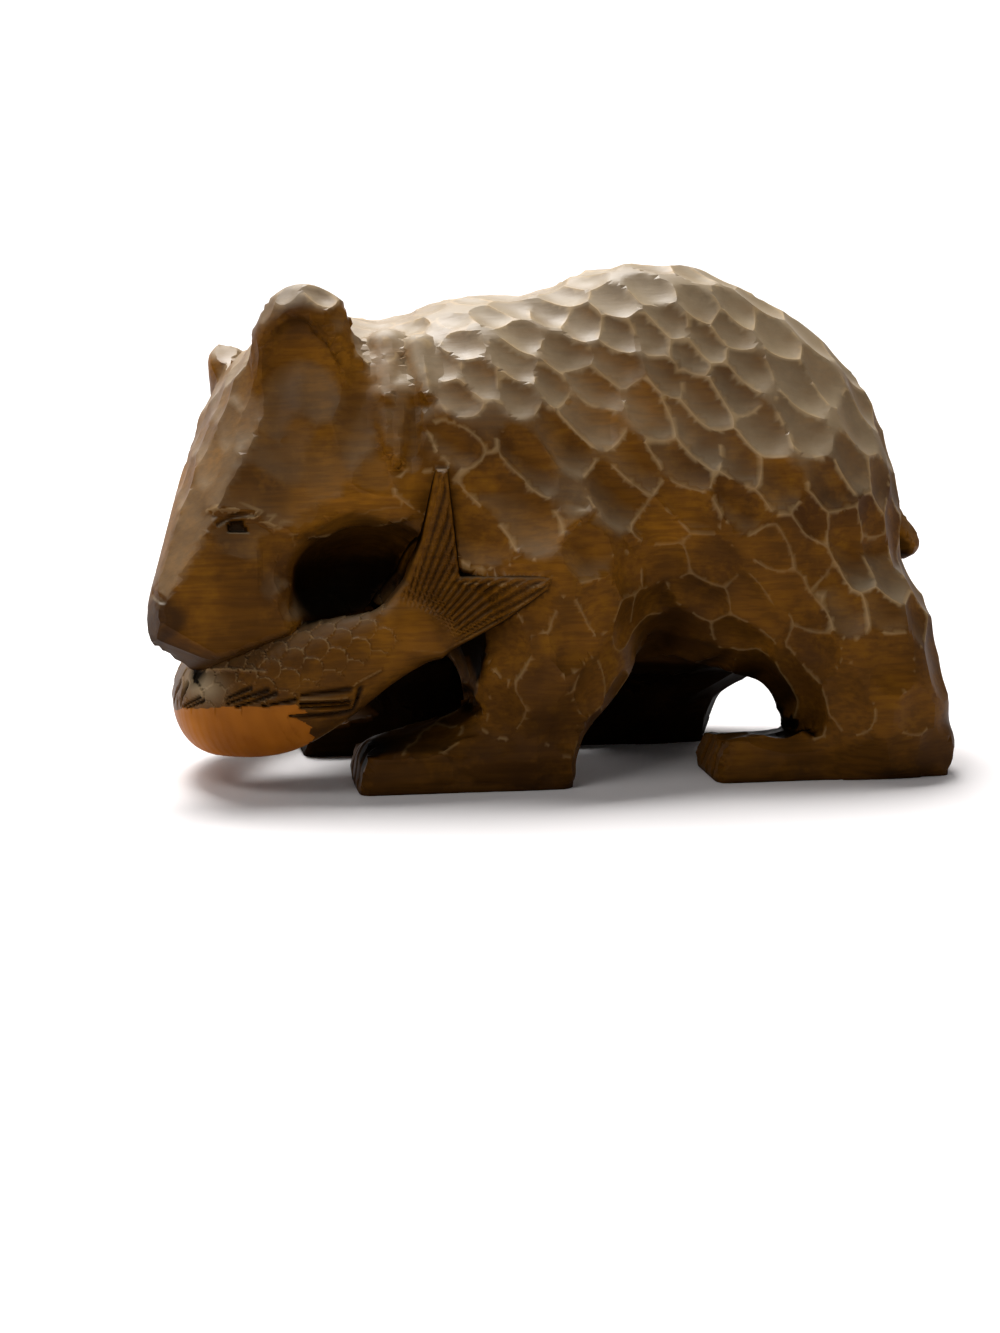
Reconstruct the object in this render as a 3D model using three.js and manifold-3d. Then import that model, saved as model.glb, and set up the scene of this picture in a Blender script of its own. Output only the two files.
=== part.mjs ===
// A carved wooden bear that stands on its four feet with a salmon held across its mouth.
// Millimetres, Z up, the ground is z = 0. The bear faces -X and its left side is -Y.
// The whole figure is cut from one block, so it is one closed body.
import * as THREE from 'three';
import Module from 'manifold-3d';

// Overall build of the bear. Heights are from the ground, and X runs from nose to tail.
const BARREL = { at: [19.5, 0, 57], half: [42, 24, 40.8] };
const RUMP = { at: [42, 0, 51.5], half: [28.5, 24, 31.5], blend: 10 };
const BELLY = { at: [12, 0, 50], half: [38, 26.5, 20], blend: 12 };
const WITHERS = { at: [-15, 0, 58.5], half: [26, 25, 32], blend: 9 };
const BREAST = { at: [-20, 0, 44], half: [17, 20, 20], blend: 10 };
const HAUNCH = { at: [43, 13.5, 44], half: [25, 16, 26], blend: 7 };
const SHOULDER = { at: [-10, 14.5, 47], half: [20, 15.5, 27], blend: 7 };
const NECK = { from: [-14, 0, 64], radii: [24, 18], blend: 9 };
const TAIL_STUB = { from: [66, 0, 48], to: [74.6, 0, 41.8], radii: [6.5, 3], blend: 3 };

// Feet and legs. The near side is the bear's left, and each far leg steps ahead of its pair.
const SOLE_RISE = 3.8;
const FOOT_HALF = { width: 9.5, height: 4.8, edge: 3 };
const TOE_SLOPE = 0.5;
const INSTEP_SLOPE = 0.14;
const FRONT = {
  near: { side: -1, step: 0, out: 21.5, toe: -40.8, thick: 12.5 },
  far: { side: 1, step: 17, out: 15, toe: -48.5, thick: 13.5 },
};
const HIND = {
  near: { side: -1, out: 21.5, hip: [57.2, 25], ankle: 60.6, thick: 15.5, heel: 75.4, toe: 28 },
  far: { side: 1, out: 18, hip: [43.2, 34], ankle: 24, thick: 13.7, heel: 36, toe: -13.6 },
};
const LEG_BLEND = 7;

// The head is turned to the bear's left, nodded down and tilted, and is then drawn in its own
// directions: forward, to its left, and up, in mm from the middle of the skull.
const HEAD_TURN = { yaw: 38, nod: 35, tilt: 27 };
const SKULL_AT = [-45.9, -2.0, 64.4];
const SKULL_HALF = [24, 20.5, 20];
// Profile of the head from crown to chin: how far forward and how high
const PROFILE = {
  crown: [2, 20.3],
  brow: [4, 20.4],
  eyes: [21, 14.8],
  bridge: [50, 0.5],
  nose_top: [48.4, 1],
  nose: [53.2, -3.2],
  lip: [50.4, -13.1],
  chin: [34, -23],
};
const EARS = [
  { side: 1, at: [-0.2, 16.4, 12.1], half: [6.5, 10.2, 15], lean: 43 },
  { side: -1, at: [-4.2, -13, 17.6], half: [4.5, 6, 7.6], lean: 0 },
];
const EAR_RIM = 2;
const EAR_DROP = 5;
const THROAT_SCOOP = { at: [-38.8, -31, 41.2], half: [13.6, 21, 10], tip: -12, blend: 6 };
const JAW = { from: [-34, -3, 38], to: [-56, -9, 19], radii: [9, 6] };
const RUFF = [
  { top: [-32.3, -10.5, 81], low: [-33.6, -21.8, 73.6], radii: [5.2, 1.2] },
  { top: [-26.6, -13.5, 81.5], low: [-26.2, -23, 73.6], radii: [3.9, 1.2] },
  { top: [-32.2, -19, 73], low: [-33.2, -26, 62.5], radii: [4.2, 1.2] },
];

// The salmon: places on its centre line from tail to snout, half depth and half thickness there.
const SALMON = [
  [-27.5, -31, 31, 5, 2.2],
  [-37, -30.5, 27.8, 7.2, 4],
  [-46.5, -29, 23.6, 9.8, 5.5],
  [-56, -26, 18.9, 11, 7],
  [-64.5, -19.5, 16.8, 10.4, 7.3],
  [-67.2, -10, 16.2, 9.8, 7],
  [-66.5, 2, 16.2, 9.2, 6.5],
  [-62, 13, 17.5, 8.6, 6],
  [-54, 21, 20, 6.5, 5],
  [-47, 26, 22.5, 2.5, 2.5],
];
const TAIL_FAN = {
  root: [[-25, 26.4], [-33, 27.5], [-36.5, 34.5], [-31.5, 40.5]],
  upper: [[-28.5, 48], [-25.5, 61], [-23.2, 61]],
  notch: [-21.2, 41.5],
  lower: [[-4.5, 41.6], [-5.5, 39], [-14, 32]],
  plane: -29.5, lean: 0.1, thick: 3.3, relief: 1.3,
};

// Gouge cuts: length and width of one cut, its depth, and how far the cuts may stand apart.
const CUT = { length: 13, width: 8.5, depth: 1.0, seed: 7 };
const CELL = { head: 2.1, trunk: 2.6, across: 2.4, foot: 2.2, fish: 1.7 };
const FACETS = { bear: 7300, fish: 2300 };

// Small vector helpers
const add = (a, b) => [a[0] + b[0], a[1] + b[1], a[2] + b[2]];
const sub = (a, b) => [a[0] - b[0], a[1] - b[1], a[2] - b[2]];
const scale = (a, s) => [a[0] * s, a[1] * s, a[2] * s];
const dot = (a, b) => a[0] * b[0] + a[1] * b[1] + a[2] * b[2];
const cross = (a, b) => [a[1] * b[2] - a[2] * b[1], a[2] * b[0] - a[0] * b[2], a[0] * b[1] - a[1] * b[0]];
const size = (a) => Math.hypot(a[0], a[1], a[2]);
const unit = (a) => scale(a, 1 / (size(a) || 1));
const rad = (deg) => deg * Math.PI / 180;

// Solids as distance functions: negative inside, in mm
function ellipsoid(p, at, half, axes) {
  let q = sub(p, at);
  if (axes) q = [dot(q, axes[0]), dot(q, axes[1]), dot(q, axes[2])];
  const k0 = Math.hypot(q[0] / half[0], q[1] / half[1], q[2] / half[2]);
  const k1 = Math.hypot(q[0] / half[0] ** 2, q[1] / half[1] ** 2, q[2] / half[2] ** 2);
  return k0 * (k0 - 1) / Math.max(k1, 1e-9);
}

// A ball swept from a to b while its radius changes
function limb(p, a, b, ra, rb) {
  const ba = sub(b, a);
  const l2 = dot(ba, ba);
  const rr = ra - rb;
  const a2 = l2 - rr * rr;
  const pa = sub(p, a);
  const y = dot(pa, ba);
  const z = y - l2;
  const w = sub(scale(pa, l2), scale(ba, y));
  const x2 = dot(w, w);
  const y2 = y * y * l2;
  const z2 = z * z * l2;
  const k = Math.sign(rr) * rr * rr * x2;
  if (Math.sign(z) * a2 * z2 > k) return Math.sqrt(x2 + z2) / l2 - rb;
  if (Math.sign(y) * a2 * y2 < k) return Math.sqrt(x2 + y2) / l2 - ra;
  return (Math.sqrt(Math.max(x2 * a2 / l2, 0)) + y * rr) / l2 - ra;
}

function block(p, at, half, edge) {
  const q = [0, 1, 2].map((i) => Math.abs(p[i] - at[i]) - (half[i] - edge));
  const outside = Math.hypot(Math.max(q[0], 0), Math.max(q[1], 0), Math.max(q[2], 0));
  return outside + Math.min(Math.max(q[0], q[1], q[2]), 0) - edge;
}

// Join two solids with a fillet of about k, keep what both share, and take one out of the other
function melt(a, b, k) {
  const h = Math.max(k - Math.abs(a - b), 0) / k;
  return Math.min(a, b) - h * h * k * 0.25;
}
const trim = (a, b, k) => -melt(-a, -b, k);
const hollow = (a, b, k) => -melt(-a, b, k);

// Directions of the head: rows are forward, left and up
function headDirections({ yaw, nod, tilt }) {
  const y = rad(yaw);
  const n = rad(nod);
  const t = rad(tilt);
  const forward = [-Math.cos(y) * Math.cos(n), -Math.sin(y) * Math.cos(n), -Math.sin(n)];
  const level = [Math.sin(y), -Math.cos(y), 0];
  const rise = cross(forward, level);
  const left = add(scale(level, Math.cos(t)), scale(rise, Math.sin(t)));
  return [forward, left, cross(forward, left)];
}
const HEAD = headDirections(HEAD_TURN);

function onHead(forward, left, up) {
  const [f, l, u] = HEAD;
  return add(SKULL_AT, add(add(scale(f, forward), scale(l, left)), scale(u, up)));
}

// The flat through three points of the head, facing away from the middle of the muzzle
function flat(a, b, c) {
  const [pa, pb, pc] = [a, b, c].map((q) => onHead(...q));
  let normal = unit(cross(sub(pb, pa), sub(pc, pa)));
  if (dot(sub(pa, onHead(20, 0, -5)), normal) < 0) normal = scale(normal, -1);
  return { point: pa, normal };
}
const above = (p, f) => dot(sub(p, f.point), f.normal);

// The flat that runs across the head between two places of its profile
function across([f1, u1], [f2, u2]) {
  return flat([f1, -3, u1], [f1, 3, u1], [f2, 0, u2]);
}

function makeFlats() {
  const { crown, brow, eyes, bridge, nose_top, nose, lip, chin } = PROFILE;
  const list = [];
  for (const s of [1, -1]) {
    list.push([flat([9, 8.5 * s, 18.75], [48, 2.5 * s, 1.5], [14.5, 15 * s, 11.7]), 1]);
    list.push([flat([8.2, 15.5 * s, 13], [29, 11.5 * s, 5.5], [12, 20 * s, -6]), 1]);
    list.push([flat([31, 11.5 * s, 0], [49, 4 * s, 0], [34, 13 * s, -20]), 1]);
  }
  list.push([across(brow, eyes), 1.5]);
  list.push([across([-8, crown[1]], crown), 3]);
  list.push([across(nose_top, nose), 0.6]);
  list.push([across(nose, lip), 1]);
  list.push([across([lip[0], lip[1] - 0.9], chin), 1.5]);
  list.push([flat([-10, 0, 5], [-10, 5, 5], [-10, 0, -9]), 8]);
  return { bridge: across(eyes, bridge), list };
}
const MUZZLE = makeFlats();

function head(p) {
  let wedge = above(p, MUZZLE.bridge);
  for (const [f, k] of MUZZLE.list) wedge = trim(wedge, above(p, f), k);
  return melt(ellipsoid(p, onHead(-4, 0, 0), SKULL_HALF, HEAD), wedge, 4);
}

function earFrame({ side, at, half, lean }) {
  const tilted = [0.55, 0.8 * side, 0.1];
  const face = unit([0, 1, 2].map((i) => dot(tilted, [HEAD[0][i], HEAD[1][i], HEAD[2][i]])));
  const level = unit(cross(HEAD[2], face));
  const rise = cross(face, level);
  const wide = sub(scale(level, Math.cos(rad(lean))), scale(rise, Math.sin(rad(lean))));
  const tall = add(scale(level, Math.sin(rad(lean))), scale(rise, Math.cos(rad(lean))));
  const middle = onHead(...at);
  return {
    middle,
    half,
    axes: [face, wide, tall],
    bowl: sub(add(middle, scale(face, half[0] - 0.5)), scale(tall, EAR_DROP)),
    bowlHalf: [half[0] - 0.5, half[1] - EAR_RIM, half[2]],
  };
}
const EAR_FRAMES = EARS.map(earFrame);

function ears(p) {
  let d = 1e9;
  for (const e of EAR_FRAMES) {
    const bowl = ellipsoid(p, e.bowl, e.bowlHalf, e.axes);
    d = Math.min(d, hollow(ellipsoid(p, e.middle, e.half, e.axes), bowl, 1));
  }
  return d;
}

function trunk(p) {
  let d = ellipsoid(p, BARREL.at, BARREL.half);
  for (const m of [RUMP, BELLY, WITHERS, BREAST]) d = melt(d, ellipsoid(p, m.at, m.half), m.blend);
  for (const side of [-1, 1]) {
    for (const m of [HAUNCH, SHOULDER]) {
      d = melt(d, ellipsoid(p, [m.at[0], side * m.at[1], m.at[2]], m.half), m.blend);
    }
  }
  d = melt(d, limb(p, NECK.from, add(SKULL_AT, [6, 2, -3]), ...NECK.radii), NECK.blend);
  return melt(d, limb(p, TAIL_STUB.from, TAIL_STUB.to, ...TAIL_STUB.radii), TAIL_STUB.blend);
}

// A paw slopes back above the toes and down towards its inner side
function paw(p, { side, out, heel, toe }) {
  const { width, height, edge } = FOOT_HALF;
  const sole = block(p, [(heel + toe) / 2, side * out, SOLE_RISE], [(heel - toe) / 2, width, height], edge);
  const front = dot(sub(p, [toe, 0, 1]), unit([-1, 0, TOE_SLOPE]));
  const top = [0, side * (out + 8), SOLE_RISE + height];
  const inner = dot(sub(p, top), unit([0, -INSTEP_SLOPE * side, 1]));
  return trim(trim(sole, front, 1), inner, 1.5);
}

function frontLeg(p, { side, step, out, toe, thick }) {
  const x = -step;
  const knee = [-5 + x, side * (out - 1), 20];
  let d = limb(p, [-3 + x / 2, side * (out - 3), 40], knee, 17, thick);
  if (side < 0) d = melt(d, limb(p, [2, -17, 36], [4.5, -19, 25], 14, 9.5), 6);
  d = melt(d, limb(p, knee, [-8 + x, side * out, 9], thick, 9), 6);
  d = melt(d, limb(p, [-8 + x, side * out, 10.5], [toe + 9, side * out, 4.2], 8.5, 4.6), 3);
  return melt(d, paw(p, { side, out, heel: 0.5 + x, toe }), LEG_BLEND - 1);
}

function hindLeg(p, { side, out, hip, ankle, thick, heel, toe }) {
  const low = [ankle, side * (out - 1), 13];
  const d = limb(p, [hip[0], side * (out - 4), hip[1]], low, 16.8, thick);
  return melt(d, paw(p, { side, out, heel, toe }), LEG_BLEND - 2);
}

const SCOOP_AXES = (() => {
  const a = rad(THROAT_SCOOP.tip);
  return [[Math.cos(a), 0, -Math.sin(a)], [0, 1, 0], [Math.sin(a), 0, Math.cos(a)]];
})();

function bearWithoutFloor(p) {
  const front = Math.min(frontLeg(p, FRONT.near), frontLeg(p, FRONT.far));
  const hind = Math.min(hindLeg(p, HIND.near), hindLeg(p, HIND.far));
  let d = melt(trunk(p), Math.min(front, hind), LEG_BLEND);
  d = melt(d, melt(head(p), ears(p), 3), 5);
  for (const { top, low, radii } of RUFF) {
    d = melt(d, limb(p, top, low, ...radii), 1.5);
  }
  d = hollow(d, ellipsoid(p, THROAT_SCOOP.at, THROAT_SCOOP.half, SCOOP_AXES), THROAT_SCOOP.blend);
  return melt(d, limb(p, JAW.from, JAW.to, ...JAW.radii), 3);
}
const bear = (p) => Math.max(bearWithoutFloor(p), -p[2]);

// A smooth run through the salmon's places, as rows of the same five numbers
function smoothRun(rows, per) {
  const first = rows[0].map((v, i) => 2 * v - rows[1][i]);
  const last = rows.at(-1).map((v, i) => 2 * v - rows.at(-2)[i]);
  const all = [first, ...rows, last];
  const run = [];
  for (let i = 1; i < all.length - 2; i++) {
    for (let j = 0; j < per; j++) {
      const t = j / per;
      run.push(all[i].map((p1, c) => {
        const p0 = all[i - 1][c];
        const p2 = all[i + 1][c];
        const p3 = all[i + 2][c];
        return 0.5 * (2 * p1 + (p2 - p0) * t + (2 * p0 - 5 * p1 + 4 * p2 - p3) * t * t
          + (3 * p1 - p0 - 3 * p2 + p3) * t ** 3);
      }));
    }
  }
  run.push(rows.at(-1));
  return run;
}
const RUN = smoothRun(SALMON, 4);

function fishBody(p) {
  let best = 1e9;
  let at = null;
  for (let i = 0; i < RUN.length - 1; i++) {
    const a = RUN[i];
    const ab = sub(RUN[i + 1], a);
    const t = Math.min(Math.max(dot(sub(p, a), ab) / dot(ab, ab), 0), 1);
    const q = sub(p, add(a, scale(ab, t)));
    const d = size(q);
    if (d < best) {
      best = d;
      at = { q, axis: unit(ab), half: [3, 4].map((c) => a[c] + (RUN[i + 1][c] - a[c]) * t) };
    }
  }
  const tilted = [0.15, 0, 1];
  const up = unit(sub(tilted, scale(at.axis, dot(tilted, at.axis))));
  const v = dot(at.q, up);
  const w = Math.sqrt(Math.max(dot(at.q, at.q) - v * v, 0));
  const [a, b] = at.half;
  const k0 = Math.hypot(v / a, w / b);
  return k0 * (k0 - 1) / Math.max(Math.hypot(v / a ** 2, w / b ** 2), 1e-9);
}

// Distance to the outline of the tail fan, drawn in X and Z
const FAN = [...TAIL_FAN.root, ...TAIL_FAN.upper, TAIL_FAN.notch, ...TAIL_FAN.lower];
function fanOutline(x, z) {
  let nearest = 1e9;
  let inside = false;
  FAN.forEach(([ax, az], i) => {
    const [bx, bz] = FAN[(i + 1) % FAN.length];
    const ex = bx - ax;
    const ez = bz - az;
    const t = Math.min(Math.max(((x - ax) * ex + (z - az) * ez) / (ex * ex + ez * ez), 0), 1);
    nearest = Math.min(nearest, Math.hypot(x - ax - ex * t, z - az - ez * t));
    if ((az <= z) !== (bz <= z) && x < ax + (z - az) / ez * ex) inside = !inside;
  });
  return inside ? -nearest : nearest;
}

function tailFan(p) {
  const outline = fanOutline(p[0], p[2]);
  if (outline > 12) return outline;
  const middle = TAIL_FAN.plane + TAIL_FAN.lean * Math.max(p[2] - 31, 0);
  const plate = Math.abs(p[1] - middle) - TAIL_FAN.thick;
  const relief = Math.max(bear(p) - TAIL_FAN.relief, p[1] + 12);
  return trim(outline, Math.min(plate, relief), 2);
}
const salmon = (p) => melt(fishBody(p), tailFan(p), 2.5);

// Grid lines from lo to hi with a spacing that changes at given places
function gridLines(lo, steps) {
  const lines = [lo];
  for (const [hi, cell] of steps) {
    const start = lines.at(-1);
    const n = Math.max(1, Math.round((hi - start) / cell));
    for (let i = 1; i <= n; i++) lines.push(start + (hi - start) * i / n);
  }
  return lines;
}

// Local edges of a cell are numbered by their direction and by which side of the cell they are on
const OTHERS = [[1, 2], [2, 0], [0, 1]];
function cellEdges() {
  const edges = [];
  for (let a = 0; a < 3; a++) {
    const [b, c] = OTHERS[a];
    for (let n = 0; n < 4; n++) {
      const from = (n & 1 ? 1 << b : 0) | (n & 2 ? 1 << c : 0);
      edges.push({ a, from, to: from | (1 << a) });
    }
  }
  return edges;
}
const EDGES = cellEdges();
const FACES = [0, 1, 2, 3, 4, 5].map((f) => {
  const a = f >> 1;
  const side = f & 1;
  const onFace = (corner) => ((corner >> a) & 1) === side;
  return EDGES.map((e, i) => ({ ...e, i })).filter((e) => onFace(e.from) && onFace(e.to));
});

// Which of a cell's crossed edges belong to the same patch of surface
function patches(inside) {
  const group = EDGES.map((e, i) => i);
  const find = (i) => (group[i] === i ? i : find(group[i]));
  const crossed = (e) => ((inside >> e.from) & 1) !== ((inside >> e.to) & 1);
  for (const face of FACES) {
    const cut = face.filter(crossed);
    if (cut.length === 2) group[find(cut[0].i)] = find(cut[1].i);
    if (cut.length === 4) {
      for (let corner = 0; corner < 8; corner++) {
        const pair = cut.filter((e) => e.from === corner || e.to === corner);
        if (pair.length === 2 && ((inside >> corner) & 1)) group[find(pair[0].i)] = find(pair[1].i);
      }
    }
  }
  const sets = new Map();
  EDGES.forEach((e, i) => {
    if (!crossed(e)) return;
    const root = find(i);
    sets.set(root, [...(sets.get(root) ?? []), i]);
  });
  return [...sets.values()];
}

// A closed net over a solid: one point for each patch of surface in each cell of the grid
function net(field, lines, settle) {
  const n = lines.map((l) => l.length);
  const at = (i, j, k) => (i * n[1] + j) * n[2] + k;
  const value = new Float64Array(n[0] * n[1] * n[2]);
  for (let i = 0; i < n[0]; i++) {
    for (let j = 0; j < n[1]; j++) {
      for (let k = 0; k < n[2]; k++) value[at(i, j, k)] = field([lines[0][i], lines[1][j], lines[2][k]]);
    }
  }
  const points = [];
  const pointOf = new Int32Array(value.length * 12).fill(-1);
  for (let i = 0; i < n[0] - 1; i++) {
    for (let j = 0; j < n[1] - 1; j++) {
      for (let k = 0; k < n[2] - 1; k++) {
        let inside = 0;
        const v = [];
        for (let c = 0; c < 8; c++) {
          v.push(value[at(i + (c & 1), j + ((c >> 1) & 1), k + (c >> 2))]);
          if (v[c] < 0) inside |= 1 << c;
        }
        if (inside === 0 || inside === 255) continue;
        for (const set of patches(inside)) {
          let mean = [0, 0, 0];
          for (const e of set) {
            const { a, from, to } = EDGES[e];
            const t = v[from] / (v[from] - v[to]);
            const cell = [i, j, k];
            const q = [0, 1, 2].map((m) => {
              const low = lines[m][cell[m] + ((from >> m) & 1)];
              return m === a ? low + (lines[m][cell[m] + 1] - low) * t : low;
            });
            mean = add(mean, q);
            pointOf[at(i, j, k) * 12 + e] = points.length;
          }
          const low = [lines[0][i], lines[1][j], lines[2][k]];
          const high = [lines[0][i + 1], lines[1][j + 1], lines[2][k + 1]];
          points.push(settle(scale(mean, 1 / set.length), low, high));
        }
      }
    }
  }
  const triangles = [];
  for (let a = 0; a < 3; a++) {
    const [b, c] = OTHERS[a];
    const g = [0, 0, 0];
    for (g[0] = 0; g[0] < n[0]; g[0]++) {
      for (g[1] = 0; g[1] < n[1]; g[1]++) {
        for (g[2] = 0; g[2] < n[2]; g[2]++) {
          if (g[a] > n[a] - 2 || g[b] < 1 || g[c] < 1 || g[b] > n[b] - 2 || g[c] > n[c] - 2) continue;
          const here = value[at(...g)] < 0;
          const next = [...g];
          next[a] += 1;
          if (here === value[at(...next)] < 0) continue;
          const ring = [[1, 1], [0, 1], [0, 0], [1, 0]].map(([ob, oc]) => {
            const cell = [...g];
            cell[b] -= ob;
            cell[c] -= oc;
            return pointOf[at(...cell) * 12 + a * 4 + ob + 2 * oc];
          });
          if (!here) ring.reverse();
          const [p, q, r, s] = ring;
          const shorter = size(sub(points[p], points[r])) < size(sub(points[q], points[s]));
          if (shorter) triangles.push([p, q, r], [p, r, s]);
          else triangles.push([q, r, s], [q, s, p]);
        }
      }
    }
  }
  return { points, triangles };
}

const slope = (field, p) => [0, 1, 2].map((m) => {
  const up = [...p];
  const down = [...p];
  up[m] += 0.05;
  down[m] -= 0.05;
  return (field(up) - field(down)) / 0.1;
});

// Move a point onto the surface, but leave it in its own cell
function settleOn(field, floor) {
  return (start, low, high) => {
    let p = start;
    const onFloor = floor && low[2] < 0 && high[2] > 0;
    if (onFloor) p = [p[0], p[1], 1.5];
    if (!onFloor || Math.abs(field(p)) < 1.3) {
      for (let i = 0; i < 2; i++) {
        const g = slope(field, p);
        if (onFloor) g[2] = 0;
        p = sub(p, scale(g, 0.8 * field(p) / Math.max(dot(g, g), 0.5)));
      }
    }
    p = p.map((v, m) => Math.min(Math.max(v, low[m]), high[m]));
    if (onFloor) p[2] = 0;
    return p;
  };
}

// The same sequence of chances each time
function chances(seed) {
  let s = seed >>> 0;
  return () => {
    s = (s + 0x6D2B79F5) >>> 0;
    let t = s;
    t = Math.imul(t ^ (t >>> 15), t | 1);
    t ^= t + Math.imul(t ^ (t >>> 7), t | 61);
    return ((t ^ (t >>> 14)) >>> 0) / 4294967296;
  };
}

// The way the coat lies at a place: back over the head, then down and to the rear over the flanks
function coat(p, normal) {
  const steep = Math.min(Math.max((p[0] + 40) / 100, 0), 1);
  const fall = rad(35 + 25 * steep);
  const along = [Math.cos(fall), 0, -Math.sin(fall)];
  return unit(sub(along, scale(normal, dot(along, normal))));
}

// Shallow scoops over the coat, each as the round bottom of a gouge leaves it
function gouge({ points, triangles }, field) {
  const chance = chances(CUT.seed);
  const normals = points.map((p) => unit(slope(field, p)));
  const cuts = [];
  for (let tries = 0; tries < 9000; tries++) {
    const t = triangles[Math.floor(chance() * triangles.length)];
    const [u, v] = [chance(), chance()].sort((a, b) => a - b);
    const w = [u, v - u, 1 - v];
    let at = [0, 0, 0];
    let normal = [0, 0, 0];
    t.forEach((id, i) => {
      at = add(at, scale(points[id], w[i]));
      normal = add(normal, scale(normals[id], w[i]));
    });
    if (at[2] < 1.5 || onFace(at)) continue;
    normal = unit(normal);
    const along = coat(at, normal);
    const across = cross(normal, along);
    const clear = cuts.every((c) => {
      const q = sub(at, c.at);
      const wide = Math.hypot(dot(q, across), dot(q, normal));
      return Math.hypot(dot(q, along) / CUT.length, wide / CUT.width) > 0.85;
    });
    if (clear) cuts.push({ at, normal, along, across });
  }
  const bend = [CUT.length, CUT.width].map((w) => w * w / (8 * CUT.depth));
  return points.map((p, i) => {
    if (p[2] < 2) return p;
    let deepest = 0;
    for (const c of cuts) {
      const q = sub(p, c.at);
      if (Math.abs(q[0]) > 14 || Math.abs(q[1]) > 14 || Math.abs(q[2]) > 14) continue;
      if (dot(c.normal, normals[i]) < 0.3) continue;
      const rise = dot(q, c.along) ** 2 / (2 * bend[0]) + dot(q, c.across) ** 2 / (2 * bend[1]);
      const low = rise - CUT.depth * 0.8 - dot(q, c.normal);
      deepest = Math.min(deepest, low);
    }
    return add(p, scale(normals[i], Math.max(deepest, -CUT.depth)));
  });
}

// The broad smooth planes of the face, the ear bowls and the scoop under the cheek
function onFace(p) {
  const q = sub(p, SKULL_AT);
  const [f, l, u] = HEAD.map((d) => dot(q, d));
  const side = l > 4 && f > -8 && u < 14;
  const bowl = EAR_FRAMES.some((e) => ellipsoid(p, e.bowl, e.bowlHalf, e.axes) < 1.5);
  const scoop = ellipsoid(p, THROAT_SCOOP.at, THROAT_SCOOP.half, SCOOP_AXES) < 1.5;
  return (side && f > 0) || f > 34 || bowl || scoop;
}

// Squared distances to a set of planes, as the ten numbers of a symmetric form
function planeForm(a, b, c) {
  const n = cross(sub(b, a), sub(c, a));
  const area = size(n) / 2;
  const [x, y, z] = unit(n);
  const w = -dot([x, y, z], a);
  return [x * x, x * y, x * z, x * w, y * y, y * z, y * w, z * z, z * w, w * w].map((v) => v * area);
}
const addForms = (f, g) => f.map((v, i) => v + g[i]);
function formAt(f, [x, y, z]) {
  const squares = f[0] * x * x + f[4] * y * y + f[7] * z * z;
  const products = f[1] * x * y + f[2] * x * z + f[5] * y * z;
  return squares + 2 * (products + f[3] * x + f[6] * y + f[8] * z) + f[9];
}

// The place that lies nearest to all the planes of two joined points
function bestPlace(f, p, q) {
  const flatSole = p[2] === 0 || q[2] === 0;
  const middle = scale(add(p, q), 0.5);
  const options = [p, q, middle];
  const rows = [[f[0], f[1], f[2]], [f[1], f[4], f[5]], [f[2], f[5], f[7]]];
  const det = dot(rows[0], cross(rows[1], rows[2]));
  if (Math.abs(det) > 1e-3 * (f[0] + f[4] + f[7]) ** 3 / 27) {
    const right = [-f[3], -f[6], -f[8]];
    const column = (i) => rows.map((r) => r[i]);
    const solved = [0, 1, 2].map((i) => {
      const c = [column(0), column(1), column(2)];
      c[i] = right;
      return dot(c[0], cross(c[1], c[2])) / det;
    });
    if (size(sub(solved, middle)) < size(sub(p, q))) options.push(solved);
  }
  let best = null;
  for (const o of options) {
    const at = flatSole ? [o[0], o[1], 0] : o;
    const cost = formAt(f, at) + 1e-4 * dot(sub(p, q), sub(p, q));
    if (!best || cost < best.cost) best = { at, cost };
  }
  return best;
}

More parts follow.
